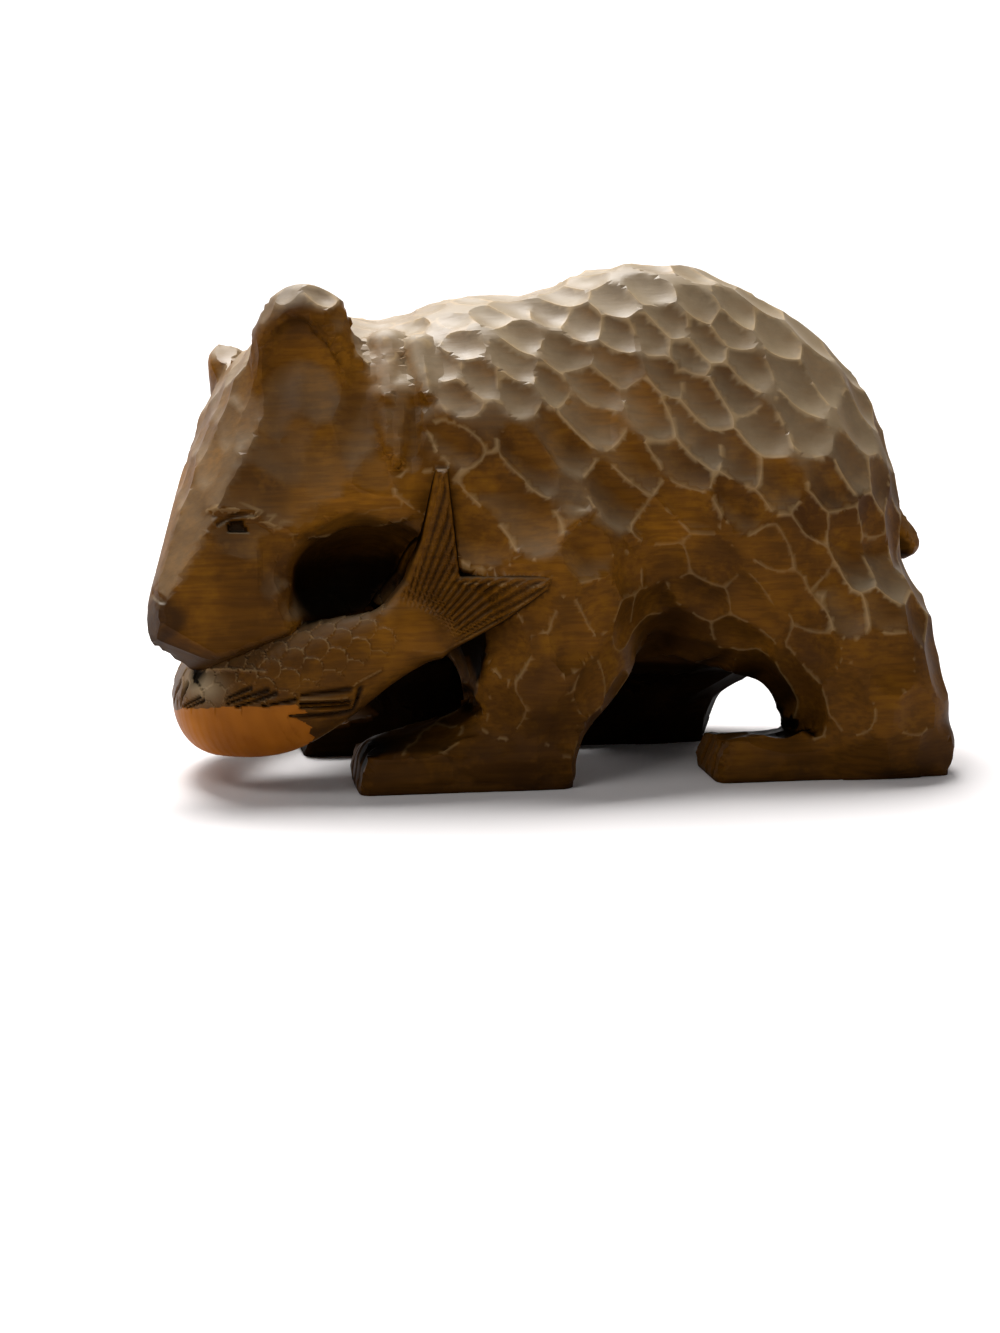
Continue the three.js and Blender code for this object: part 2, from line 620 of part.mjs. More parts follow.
// Take out the points that the shape misses least, until the goal is met
function thin({ points, triangles }, goal) {
  const place = points.map((p) => p);
  const faces = triangles.map((t) => [...t]);
  const around = points.map(() => new Set());
  faces.forEach((t, i) => t.forEach((p) => around[p].add(i)));
  const form = points.map(() => new Array(10).fill(0));
  for (const t of faces) {
    const f = planeForm(...t.map((p) => place[p]));
    for (const p of t) form[p] = addForms(form[p], f);
  }
  const neighbours = (p) => new Set([...around[p]].flatMap((i) => faces[i]).filter((q) => q !== p));
  const stamp = new Int32Array(points.length);
  const heap = [];
  const put = (item) => {
    let i = heap.length;
    heap.push(item);
    while (i > 0 && heap[(i - 1) >> 1].cost > item.cost) {
      heap[i] = heap[(i - 1) >> 1];
      i = (i - 1) >> 1;
    }
    heap[i] = item;
  };
  const take = () => {
    const top = heap[0];
    const item = heap.pop();
    if (!heap.length) return top;
    let i = 0;
    for (;;) {
      let child = 2 * i + 1;
      if (child >= heap.length) break;
      if (child + 1 < heap.length && heap[child + 1].cost < heap[child].cost) child += 1;
      if (heap[child].cost >= item.cost) break;
      heap[i] = heap[child];
      i = child;
    }
    heap[i] = item;
    return top;
  };
  const offer = (p, q) => {
    const { at, cost } = bestPlace(addForms(form[p], form[q]), place[p], place[q]);
    put({ p, q, at, cost, stamps: [stamp[p], stamp[q]] });
  };
  points.forEach((_, p) => neighbours(p).forEach((q) => q > p && offer(p, q)));
  const folds = (p, q, at) => [...around[p]].some((i) => {
    if (faces[i].includes(q)) return false;
    const before = faces[i].map((c) => place[c]);
    const after = faces[i].map((c) => (c === p ? at : place[c]));
    const n0 = unit(cross(sub(before[1], before[0]), sub(before[2], before[0])));
    const raw = cross(sub(after[1], after[0]), sub(after[2], after[0]));
    const longest = Math.max(...[0, 1, 2].map((k) => size(sub(after[k], after[(k + 1) % 3]))));
    return dot(n0, unit(raw)) < 0.25 || size(raw) < 0.08 * longest * longest;
  });
  let left = faces.length;
  while (left > goal && heap.length) {
    const { p, q, at, stamps } = take();
    if (stamps[0] !== stamp[p] || stamps[1] !== stamp[q] || !around[p] || !around[q]) continue;
    const ofQ = neighbours(q);
    const shared = [...neighbours(p)].filter((r) => ofQ.has(r));
    if (shared.length !== 2 || folds(p, q, at) || folds(q, p, at)) continue;
    form[p] = addForms(form[p], form[q]);
    place[p] = at;
    for (const i of around[q]) {
      if (faces[i].includes(p)) {
        faces[i].forEach((r) => r !== q && around[r].delete(i));
        faces[i] = null;
        left -= 1;
      } else {
        faces[i] = faces[i].map((r) => (r === q ? p : r));
        around[p].add(i);
      }
    }
    around[q] = null;
    stamp[q] += 1;
    stamp[p] += 1;
    neighbours(p).forEach((r) => offer(p, r));
  }
  const kept = faces.filter(Boolean);
  const renumber = new Map();
  kept.flat().forEach((p) => renumber.has(p) || renumber.set(p, renumber.size));
  return {
    points: [...renumber.keys()].map((p) => place[p]),
    triangles: kept.map((t) => t.map((p) => renumber.get(p))),
  };
}

const wasm = await Module();
wasm.setup();

function body({ points, triangles }) {
  const mesh = new wasm.Mesh({
    numProp: 3,
    vertProperties: new Float32Array(points.flat()),
    triVerts: new Uint32Array(triangles.flat()),
  });
  return new wasm.Manifold(mesh);
}

function carve() {
  const lines = [
    gridLines(-84, [[-33, CELL.head], [80, CELL.trunk]]),
    gridLines(-40, [[38, CELL.across]]),
    gridLines(-CELL.foot / 2, [[12.6, CELL.foot], [34, CELL.head], [102, CELL.trunk * 0.92]]),
  ];
  const rough = net(bear, lines, settleOn(bearWithoutFloor, true));
  const coatNet = { points: gouge(rough, bearWithoutFloor), triangles: rough.triangles };
  const fishLines = [
    gridLines(-80, [[0, CELL.fish]]),
    gridLines(-42, [[34, CELL.fish]]),
    gridLines(0.9, [[66, CELL.fish]]),
  ];
  const fish = net(salmon, fishLines, settleOn(salmon, false));
  return body(thin(coatNet, FACETS.bear)).add(body(thin(fish, FACETS.fish)));
}

// Centre the figure over the origin, so that it measures the same to either side
function geometryOf(solid) {
  const mesh = solid.getMesh();
  const stride = mesh.numProp;
  const place = new Float32Array(mesh.vertProperties.length / stride * 3);
  for (let i = 0; i < place.length / 3; i++) {
    for (let m = 0; m < 3; m++) place[i * 3 + m] = mesh.vertProperties[i * stride + m];
  }
  const geometry = new THREE.BufferGeometry();
  geometry.setAttribute('position', new THREE.BufferAttribute(place, 3));
  geometry.setIndex(new THREE.BufferAttribute(new Uint32Array(mesh.triVerts), 1));
  geometry.computeBoundingBox();
  const { min, max } = geometry.boundingBox;
  geometry.translate(-(min.x + max.x) / 2, -(min.y + max.y) / 2, -min.z);
  const flatShaded = geometry.toNonIndexed();
  flatShaded.computeVertexNormals();
  return flatShaded;
}

const wood = new THREE.MeshStandardMaterial({
  name: 'wood',
  color: 0x6b4a24,
  roughness: 0.45,
  metalness: 0,
});
const figure = new THREE.Group();
figure.name = 'carved_bear_figure';
const carved = new THREE.Mesh(geometryOf(carve()), wood);
carved.name = 'carved_bear';
figure.add(carved);

export default figure;
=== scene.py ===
# %% [markdown]
# # A carved wooden bear with a salmon
# The object is a small figure cut from one block of wood: a bear on all fours, its head turned to its
# left, with a salmon held across its mouth. The coat is worked in shallow gouge cuts, the salmon has cut
# scales and fins, and the whole is stained dark and varnished. The first step loads the solid that the
# figure must agree with, so that everything here is measured in the same frame.

# %% Load the solid
import math
import time
import bpy
import bmesh
import numpy as np
from mathutils import Matrix, Vector
from mathutils.kdtree import KDTree


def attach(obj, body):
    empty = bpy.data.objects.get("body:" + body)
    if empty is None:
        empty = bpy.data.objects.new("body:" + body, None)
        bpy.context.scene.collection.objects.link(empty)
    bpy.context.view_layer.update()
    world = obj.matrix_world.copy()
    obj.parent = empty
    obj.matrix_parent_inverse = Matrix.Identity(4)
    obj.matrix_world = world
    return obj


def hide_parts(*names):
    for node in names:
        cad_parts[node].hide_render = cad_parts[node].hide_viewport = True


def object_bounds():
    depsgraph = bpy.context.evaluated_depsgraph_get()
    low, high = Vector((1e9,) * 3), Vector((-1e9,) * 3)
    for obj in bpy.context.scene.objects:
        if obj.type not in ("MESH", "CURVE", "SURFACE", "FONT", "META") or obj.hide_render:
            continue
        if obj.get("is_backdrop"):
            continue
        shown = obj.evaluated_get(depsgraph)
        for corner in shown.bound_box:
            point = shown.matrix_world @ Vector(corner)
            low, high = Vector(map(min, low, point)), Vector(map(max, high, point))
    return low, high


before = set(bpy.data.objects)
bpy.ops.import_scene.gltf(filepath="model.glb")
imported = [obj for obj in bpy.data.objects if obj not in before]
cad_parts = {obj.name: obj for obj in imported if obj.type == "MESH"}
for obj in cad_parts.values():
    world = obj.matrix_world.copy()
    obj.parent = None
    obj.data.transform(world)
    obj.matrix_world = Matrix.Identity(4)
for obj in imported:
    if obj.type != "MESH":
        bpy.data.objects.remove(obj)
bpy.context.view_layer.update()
STARTED = time.time()

# %% [markdown]
# ## How the form is made
# A carver starts from a block and takes wood away until plain rounded masses are left: barrel, rump,
# shoulders, neck, head and legs. Blender could rough these out with metaballs or sculpting, but neither
# gives flat cheeks beside round flanks. Here each mass is a distance function, which is negative inside
# the wood, and masses are run together with a fillet. All sizes are in millimetres.

# %% Helpers for distances
def unit(v):
    v = np.asarray(v, float)
    return v / np.maximum(np.linalg.norm(v, axis=-1, keepdims=True), 1e-12)

def norm(v):
    return np.linalg.norm(v, axis=-1)

def to_segment(p, a, b):
    """Share of the way from a to b of the nearest place there, and the step from it to p."""
    a, ab = np.asarray(a, float), np.subtract(b, a).astype(float)
    t = np.clip(((p - a) @ ab) / (ab @ ab), 0, 1)
    return t, p - a - t[..., None] * ab

def ellipsoid(p, at, half, axes=np.eye(3)):
    q = (p - np.asarray(at, float)) @ np.asarray(axes, float).T
    half = np.asarray(half, float)
    k0, k1 = norm(q / half), norm(q / half**2)
    return k0 * (k0 - 1) / np.maximum(k1, 1e-9)

def limb(p, a, b, ra, rb):
    """A ball swept from a to b while its radius changes."""
    a, b = np.asarray(a, float), np.asarray(b, float)
    ba = b - a
    l2 = ba @ ba
    rr = ra - rb
    a2 = l2 - rr * rr
    pa = p - a
    y = pa @ ba
    z = y - l2
    x2 = ((pa * l2 - y[..., None] * ba)**2).sum(-1)
    y2, z2 = y * y * l2, z * z * l2
    k = np.sign(rr) * rr * rr * x2
    far_end = np.sqrt(x2 + z2) / l2 - rb
    near_end = np.sqrt(x2 + y2) / l2 - ra
    side = (np.sqrt(np.maximum(x2 * a2 / l2, 0)) + y * rr) / l2 - ra
    return np.where(np.sign(z) * a2 * z2 > k, far_end, np.where(np.sign(y) * a2 * y2 < k, near_end, side))

def block(p, at, half, edge):
    q = np.abs(p - np.asarray(at, float)) - (np.asarray(half, float) - edge)
    return norm(np.maximum(q, 0)) + np.minimum(q.max(-1), 0) - edge

def melt(a, b, k):
    """Join two forms with a fillet of about k."""
    h = np.maximum(k - np.abs(a - b), 0) / k
    return np.minimum(a, b) - h * h * k * 0.25

def trim(a, b, k):
    """Keep what two forms share."""
    return -melt(-a, -b, k)

def hollow(a, b, k):
    """Take the second form out of the first."""
    return -melt(-a, b, k)

# %% [markdown]
# ## The trunk
# Barrel, rump, belly, withers and breast are ellipsoids, and the haunches and shoulders are a pair each.
# Their middles and half sizes were set until the outline agreed with the carving's.

# %% Trunk masses
BARREL = ((19.5, 0, 57), (42, 24, 40.8))
TRUNK = [((42, 0, 51.5), (28.5, 24, 31.5), 10), ((12, 0, 50), (38, 26.5, 20), 12),
         ((-15, 0, 58.5), (26, 25, 32), 9), ((-20, 0, 44), (17, 20, 20), 10)]
PAIRS = [((43, 13.5, 44), (25, 16, 26), 7), ((-10, 14.5, 47), (20, 15.5, 27), 7)]
SKULL_AT = np.array([-45.9, -2.0, 64.4])

def trunk(p):
    d = ellipsoid(p, *BARREL)
    for at, half, fillet in TRUNK:
        d = melt(d, ellipsoid(p, at, half), fillet)
    for side in (-1, 1):
        for (x, y, z), half, fillet in PAIRS:
            d = melt(d, ellipsoid(p, (x, side * y, z), half), fillet)
    d = melt(d, limb(p, (-14, 0, 64), SKULL_AT + np.array([6, 2, -3]), 24, 18), 9)
    return melt(d, limb(p, (66, 0, 48), (74.6, 0, 41.8), 6.5, 3), 3)

# %% [markdown]
# ## The legs
# The bear is in mid stride: each far leg is a step ahead of its pair on the near side. A leg is a tapering
# limb run into a block-like paw, and the paw is cut flat at the ground.

# %% Legs and paws
SOLE_RISE = 3.8

def paw(p, heel, toe, side, out):
    """A block that slopes back above the toes and down towards its inner side."""
    d = block(p, ((heel + toe) / 2, side * out, SOLE_RISE), ((heel - toe) / 2, 9.5, 4.8), 3)
    d = trim(d, (p - (toe, 0, 1)) @ unit((-1, 0, 0.5)), 1)
    return trim(d, (p - (0, side * (out + 8), 8.6)) @ unit((0, -0.14 * side, 1)), 1.5)

def front_leg(p, side, step, out, toe, thick):
    x = -step
    d = limb(p, (-3 + x / 2, side * (out - 3), 40), (-5 + x, side * (out - 1), 20), 17, thick)
    if side < 0:
        d = melt(d, limb(p, (2, -17, 36), (4.5, -19, 25), 14, 9.5), 6)
    d = melt(d, limb(p, (-5 + x, side * (out - 1), 20), (-8 + x, side * out, 9), thick, 9), 6)
    d = melt(d, limb(p, (-8 + x, side * out, 10.5), (toe + 9, side * out, 4.2), 8.5, 4.6), 3)
    return melt(d, paw(p, 0.5 + x, toe, side, out), 6)

def hind_leg(p, side, out, hip, ankle, thick, heel, toe):
    d = limb(p, (hip[0], side * (out - 4), hip[1]), (ankle, side * (out - 1), 13), 16.8, thick)
    return melt(d, paw(p, heel, toe, side, out), 5)

def legs(p):
    d = np.minimum(front_leg(p, -1, 0, 21.5, -40.8, 12.5), front_leg(p, 1, 17, 15, -48.5, 13.5))
    d = np.minimum(d, hind_leg(p, -1, 21.5, (57.2, 25), 60.6, 15.5, 75.4, 28))
    return np.minimum(d, hind_leg(p, 1, 18, (43.2, 34), 24, 13.7, 36, -13.6))

# %% [markdown]
# ## The head
# The head is turned to the bear's left, nodded down and tilted. It is easiest to draw in its own
# directions: forward, to its left and up. The skull is round, and the muzzle is a wedge of flat planes, as
# a straight chisel leaves it: bridge, bevels, cheeks, nose and chin. The ears are shells with a bowl.

# %% Head directions
def head_directions(yaw, nod, tilt):
    y, n, t = np.radians([yaw, nod, tilt])
    forward = np.array([-np.cos(y) * np.cos(n), -np.sin(y) * np.cos(n), -np.sin(n)])
    level = np.array([np.sin(y), -np.cos(y), 0.0])
    left = np.cos(t) * level + np.sin(t) * np.cross(forward, level)
    return np.stack([forward, left, np.cross(forward, left)])

HEAD = head_directions(38, 35, 27)

def on_head(forward, left, up):
    return SKULL_AT + np.array([forward, left, up]) @ HEAD

def in_head(p):
    return (p - SKULL_AT) @ HEAD.T

print("nose tip at", on_head(50.5, 0, 0).round(1))

# %% Muzzle planes and ears
def flat(a, b, c):
    """The plane through three places on the head, facing away from the middle of the muzzle."""
    a, b, c = on_head(*a), on_head(*b), on_head(*c)
    normal = unit(np.cross(b - a, c - a))
    if (a - on_head(20, 0, -5)) @ normal < 0:
        normal = -normal
    return a, normal

# Three places forward, left and up on each plane, and how round its edges are
SIDE_PLANES = [((9, 8.5, 18.75), (48, 2.5, 1.5), (14.5, 15, 11.7), 1),
               ((8.2, 15.5, 13), (29, 11.5, 5.5), (12, 20, -6), 1),
               ((31, 11.5, 0), (49, 4, 0), (34, 13, -20), 1)]
MIDDLE_PLANES = [((4, -3, 20.4), (4, 3, 20.4), (21, 0, 14.8), 1.5),
                 ((-8, -3, 20.3), (-8, 3, 20.3), (2, 0, 20.3), 3),
                 ((48.4, 0, 1), (48.4, 5, 1), (53.2, 0, -3.2), 0.6),
                 ((53.2, 0, -3.2), (53.2, 5, -3.2), (50.4, 0, -13.1), 1),
                 ((50.6, 0, -14), (50.6, 5, -14), (34, 0, -23), 1.5),
                 ((-10, 0, 5), (-10, 5, 5), (-10, 0, -9), 8)]
MUZZLE = []
for s in (1, -1):
    MUZZLE += [(flat(*[(f, s * l, u) for f, l, u in three]), k) for *three, k in SIDE_PLANES]
MUZZLE += [(flat(*three), k) for *three, k in MIDDLE_PLANES]
BRIDGE = flat((21, -3, 14.8), (21, 3, 14.8), (50, 0, 0.5))

def head(p):
    wedge = (p - BRIDGE[0]) @ BRIDGE[1]
    for (at, normal), k in MUZZLE:
        wedge = trim(wedge, (p - at) @ normal, k)
    return melt(ellipsoid(p, on_head(-4, 0, 0), (24, 20.5, 20), HEAD), wedge, 4)

NEAR_EAR = (1, (-0.2, 16.4, 12.1), (6.5, 10.2, 15), 43)       # side, place on the head, half sizes, lean
FAR_EAR = (-1, (-4.2, -13.0, 17.6), (4.5, 6, 7.6), 0)
EARS = []
for side, at, half, lean in (NEAR_EAR, FAR_EAR):
    face = unit(np.array([0.55, 0.8 * side, 0.1]) @ HEAD)
    wide = unit(np.cross(HEAD[2], face))
    tall = np.cross(face, wide)
    c, s = math.cos(math.radians(lean)), math.sin(math.radians(lean))
    axes = np.stack([face, wide * c - tall * s, wide * s + tall * c])
    bowl = on_head(*at) + face * (half[0] - 0.5) - axes[2] * 5
    EARS.append((on_head(*at), half, axes, bowl, (half[0] - 0.5, half[1] - 2, half[2])))

def ears(p):
    shells = [hollow(ellipsoid(p, m, h, ax), ellipsoid(p, b, bh, ax), 1) for m, h, ax, b, bh in EARS]
    return np.minimum(*shells)

# %% [markdown]
# ## Ruff, throat and jaw
# Behind the near ear four locks of the ruff hang down. Under the cheek the wood is scooped out deeply, to
# free the salmon's back from the neck. The lower jaw is hidden behind the salmon, and the neck's far side
# is filled where ear, cheek and breast would leave a pit.

# %% Bear as one form
RUFF = [((-32.3, -10.5, 81), (-33.6, -21.8, 73.6), 5.2, 1.2),
        ((-26.6, -13.5, 81.5), (-26.2, -23, 73.6), 3.9, 1.2),
        ((-33.8, -18.6, 73), (-33.8, -25.4, 64.2), 3.6, 0.9),
        ((-31, -18.4, 73.5), (-32.6, -26.4, 61.8), 3.9, 0.9)]
GROOVE = ((-27.9, -23.4, 72.5), (-29.4, -27.2, 62), 1.5, 1.0)
tip = math.radians(-12)
SCOOP_AXES = np.array([[math.cos(tip), 0, -math.sin(tip)], [0, 1, 0], [math.sin(tip), 0, math.cos(tip)]])
SCOOP = ((-38.8, -31, 41.2), (13.6, 21, 10), SCOOP_AXES)
FAR_NECK = ((-26, 14, 58), (-46, 11.5, 50), 10, 9)
LOWER_JAW = ((-34, -3, 38), (-56, -9, 19), 9, 6)

def ruff(p):
    return np.min([limb(p, *lock) for lock in RUFF], axis=0)

def bear(p):
    d = melt(trunk(p), legs(p), 7)
    d = melt(d, melt(head(p), ears(p), 3), 5)
    d = melt(d, limb(p, *FAR_NECK), 8)
    d = hollow(melt(d, ruff(p), 0.8), limb(p, *GROOVE), 1.5)
    d = hollow(d, ellipsoid(p, *SCOOP), 6)
    return melt(d, limb(p, *LOWER_JAW), 3)

def standing_bear(p):
    return np.maximum(bear(p), -p[..., 2])

# %% [markdown]
# ## The salmon
# Its body follows a smooth line from the tail root on the shoulder, down under the muzzle and round to the
# far side. At each place on the line it is a pointed oval, deeper than it is thick. The tail fan is an
# outline drawn in side view that lies as low relief on the shoulder.

# %% Salmon as one form
# Place on the middle line, half depth, half thickness
SALMON = np.array([
    [-27.5, -31, 31, 5, 2.2], [-37, -30.5, 27.8, 7.2, 4], [-46.5, -29, 23.6, 9.8, 5.5],
    [-56, -26, 18.9, 11, 7], [-64.5, -19.5, 16.8, 10.4, 7.3], [-67.2, -10, 16.2, 9.8, 7],
    [-66.5, 2, 16.2, 9.2, 6.5], [-62, 13, 17.5, 8.6, 6], [-54, 21, 20, 6.5, 5], [-47, 26, 22.5, 2.5, 2.5]])
FAN = [(-25, 26.4), (-33, 27.5), (-36.5, 34.5), (-31.5, 40.5), (-28.5, 48), (-25.5, 61), (-23.2, 61),
       (-21.2, 41.5), (-4.5, 41.6), (-5.5, 39), (-14, 32)]
FAN_PLANE, FAN_LEAN, FAN_LEANS_FROM, FAN_THICK = -29.5, 0.1, 31, 3.3
FAN_RELIEF = 1.3       # how far the fan stands out of the shoulder

def smooth_run(rows, per=8):
    P = np.vstack([2 * rows[0] - rows[1], rows, 2 * rows[-1] - rows[-2]])
    run = []
    for i in range(1, len(P) - 2):
        for t in np.arange(per) / per:
            p0, p1, p2, p3 = P[i - 1:i + 3]
            run.append(0.5 * (2 * p1 + (p2 - p0) * t + (2 * p0 - 5 * p1 + 4 * p2 - p3) * t * t
                              + (3 * p1 - p0 - 3 * p2 + p3) * t**3))
    return np.array(run + [rows[-1]])

RUN = smooth_run(SALMON)
RUN_LENGTH = np.concatenate([[0], np.cumsum(norm(np.diff(RUN[:, :3], axis=0)))])

def along_salmon(p):
    """Place on the centre line, height and sideways offset there, and half sizes."""
    best = np.full(p.shape[:-1], 1e9)
    place = np.zeros_like(best)
    for i in range(len(RUN) - 1):
        t, q = to_segment(p, RUN[i, :3], RUN[i + 1, :3])
        d = norm(q)
        place = np.where(d < best, i + t, place)
        best = np.minimum(d, best)
    i = np.minimum(place.astype(int), len(RUN) - 2)
    share = (place - i)[..., None]
    at = RUN[i] * (1 - share) + RUN[i + 1] * share
    axis = unit(RUN[i + 1, :3] - RUN[i, :3])
    up = np.array([0.15, 0.0, 1.0])
    up = unit(up - (axis @ up)[..., None] * axis)
    q = p - at[..., :3]
    high = (q * up).sum(-1)
    out = (q * np.cross(axis, up)).sum(-1)
    wide = np.sqrt(np.maximum((q * q).sum(-1) - high**2, 0))
    run = RUN_LENGTH[i] * (1 - share[..., 0]) + RUN_LENGTH[i + 1] * share[..., 0]
    return run, high, out, wide, at[..., 3], at[..., 4]

def salmon_body(p):
    _, high, _, wide, deep, thick = along_salmon(p)
    k0 = np.sqrt((high / deep)**2 + (wide / thick)**2)
    k1 = np.sqrt((high / deep**2)**2 + (wide / thick**2)**2)
    return k0 * (k0 - 1) / np.maximum(k1, 1e-9)

def outline_distance(x, z, points):
    nearest = np.full(x.shape, 1e9)
    inside = np.zeros(x.shape, bool)
    for (ax, az), (bx, bz) in zip(points, points[1:] + points[:1]):
        ex, ez = bx - ax, bz - az
        t = np.clip(((x - ax) * ex + (z - az) * ez) / (ex * ex + ez * ez), 0, 1)
        nearest = np.minimum(nearest, np.hypot(x - ax - ex * t, z - az - ez * t))
        crosses = (az <= z) != (bz <= z)
        inside ^= crosses & (x < ax + (z - az) / (ez if ez else 1e-9) * ex)
    return np.where(inside, -nearest, nearest)

def salmon_tail(p):
    edge = outline_distance(p[..., 0], p[..., 2], FAN)
    middle = FAN_PLANE + FAN_LEAN * np.maximum(p[..., 2] - FAN_LEANS_FROM, 0)
    plate = np.abs(p[..., 1] - middle) - FAN_THICK
    relief = np.full(edge.shape, 50.0)
    close = (edge < 5) & (p[..., 1] < 5)
    if close.any():
        relief[close] = np.maximum(standing_bear(p[close]) - FAN_RELIEF, p[close][..., 1] + 12)
    return trim(edge, np.minimum(plate, relief), 2)

def salmon(p):
    return melt(salmon_body(p), salmon_tail(p), 2.5)

# %% [markdown]
# ## From a form to a mesh
# The form is sampled on a grid, and a net is laid over the cells that its surface crosses, with one point
# for each patch of surface in a cell. Each point is then moved onto the surface. Such a net is closed by
# construction. Distances are worked out in full only in the blocks that the surface is close to.

# %% Sample a form on a grid
def sample(form, low, high, step):
    low = np.asarray(low, float)
    n = (np.ceil((np.asarray(high) - low) / (4 * step)).astype(int)) * 4 + 1
    lines = [low[i] + step * np.arange(n[i]) for i in range(3)]
    coarse = np.stack(np.meshgrid(*[l[::4] for l in lines], indexing="ij"), -1)
    rough = form(coarse.reshape(-1, 3)).reshape(coarse.shape[:3])
    near = np.abs(rough) < 4 * step * 2.2
    for axis in range(3):
        near = near | np.roll(near, 1, axis) | np.roll(near, -1, axis)
    which = np.ix_(*[(np.arange(n[i]) + 2) // 4 for i in range(3)])
    value = np.where(rough[which] < 0, -9.0, 9.0)
    wanted = np.argwhere(near[which])
    for start in range(0, len(wanted), 200000):
        w = wanted[start:start + 200000]
        p = np.stack([lines[i][w[:, i]] for i in range(3)], -1)
        value[tuple(w.T)] = form(p)
    return lines, value

# %% Which crossings of a cell belong to one patch of surface
OTHERS = [(1, 2), (2, 0), (0, 1)]
EDGES = []
for a in range(3):
    b, c = OTHERS[a]
    for k in range(4):
        start = ((k & 1) << b) | ((k >> 1) << c)
        EDGES.append((a, start, start | (1 << a)))

def patch_table():
    table = np.full((256, 12), -1)
    for inside in range(256):
        group = list(range(12))
        def find(i):
            return i if group[i] == i else find(group[i])
        crossed = [((inside >> s) & 1) != ((inside >> e) & 1) for _, s, e in EDGES]
        for axis, end in [(a, b) for a in range(3) for b in (0, 1)]:
            cut = [i for i, (_, s, e) in enumerate(EDGES)
                   if crossed[i] and (s >> axis) & 1 == (e >> axis) & 1 == end]
            if len(cut) == 2:
                group[find(cut[0])] = find(cut[1])
            if len(cut) == 4:
                for corner in range(8):
                    pair = [i for i in cut if corner in EDGES[i][1:]]
                    if len(pair) == 2 and (inside >> corner) & 1:
                        group[find(pair[0])] = find(pair[1])
        roots = []
        for i in range(12):
            if crossed[i]:
                if find(i) not in roots:
                    roots.append(find(i))
                table[inside, i] = roots.index(find(i))
    return table

PATCH = patch_table()
print("most patches of surface in one cell", PATCH.max() + 1)

# %% Lay a closed net over a form
def bits(corner):
    return corner & 1, (corner >> 1) & 1, corner >> 2

def lay_net(lines, value):
    n = np.array(value.shape)
    inside = value < 0
    code = 0
    for k in range(8):
        window = tuple(slice(b, m - 1 + b) for b, m in zip(bits(k), n))
        code = code + (inside[window].astype(int) << k)
    cells = np.argwhere((code > 0) & (code < 255))
    codes = code[tuple(cells.T)]
    count = PATCH[codes].max(1) + 1
    first = np.concatenate([[0], np.cumsum(count)])
    total, hits = np.zeros((first[-1], 3)), np.zeros(first[-1])
    ids = np.full((*(n - 1), 12), -1, np.int32)
    for e, (a, s, t) in enumerate(EDGES):
        m = PATCH[codes, e] >= 0
        c = cells[m]
        corner = lambda k: c + bits(k)
        v0, v1 = value[tuple(corner(s).T)], value[tuple(corner(t).T)]
        share = v0 / (v0 - v1)
        p = np.stack([lines[i][corner(s)[:, i]] for i in range(3)], -1)
        p[:, a] += share * (lines[a][1] - lines[a][0])
        which = first[:-1][m] + PATCH[codes[m], e]
        np.add.at(total, which, p)
        np.add.at(hits, which, 1)
        ids[(*c.T, np.full(len(c), e))] = which
    points = total / hits[:, None]
    triangles = []
    for a in range(3):
        b, c = OTHERS[a]
        here, there = [slice(None)] * 3, [slice(None)] * 3
        here[a], there[a] = slice(0, -1), slice(1, None)
        edge = np.argwhere(inside[tuple(here)] != inside[tuple(there)])
        ring = []
        for ob, oc in ((1, 1), (0, 1), (0, 0), (1, 0)):
            cell = edge.copy()
            cell[:, b] -= ob
            cell[:, c] -= oc
            ring.append(ids[(*cell.T, np.full(len(cell), a * 4 + ob + 2 * oc))])
        ring = np.stack(ring, 1)
        out = ~inside[tuple(edge.T)]
        ring[out] = ring[out][:, ::-1]
        a0, a1, a2, a3 = points[ring.T]
        short = norm(a0 - a2) < norm(a1 - a3)
        for m, order in ((short, ((0, 1, 2), (0, 2, 3))), (~short, ((1, 2, 3), (1, 3, 0)))):
            triangles += [ring[m][:, list(o)] for o in order]
    return points, np.concatenate(triangles)

def slopes(form, p, h=0.05):
    steps = np.eye(3) * h
    return np.stack([(form(p + s) - form(p - s)) / (2 * h) for s in steps], -1)

def report(name, points, faces):
    print(name, len(points), "points,", len(faces), "triangles,", round(time.time() - STARTED, 1), "s")

def settle(form, points, step, rounds=2):
    """Move points onto the surface, no further than a cell allows."""
    start = points.copy()
    for _ in range(rounds):
        g = slopes(form, points)
        points = points - g * (form(points) / np.maximum((g * g).sum(-1), 0.4))[:, None]
        points = start + np.clip(points - start, -0.5 * step, 0.5 * step)
    return points

# %% [markdown]
# ## The bear before its coat
# The bear's net has cells of about a millimetre. The soles are laid exactly on the ground, because the
# figure stands on them.

# %% Net of the bear
STEP = 1.12
lines, value = sample(standing_bear, (-84, -40, -STEP * 0.5), (82, 37, 102), STEP)
wood, faces = lay_net(lines, value)
on_ground = wood[:, 2] < STEP * 0.49
lifted = wood.copy()
lifted[on_ground, 2] = 1.5
rim = on_ground & (np.abs(bear(lifted)) < 1.3)
moved = settle(bear, lifted, STEP)
wood[~on_ground] = moved[~on_ground]
wood[rim, :2] = moved[rim, :2]
wood[on_ground, 2] = 0
normals = unit(slopes(bear, wood))
normals[on_ground & ~rim] = (0, 0, -1)
report("bear net:", wood, faces)

# %% [markdown]
# ## Gouge cuts
# The coat is cut with a shallow gouge, stroke beside stroke, and each stroke leaves a scoop: long along
# the fall of the hair, round-ended below. Each cut here is a shallow bowl, steeper at its lower end, and
# the wood is taken down to the lowest bowl at every place. The bowls' middles are spread by chance at a
# stroke's distance, and their size changes over the body: small on the brow and back, broad on the
# shoulder and legs, faint on the face, long strokes inside the legs.

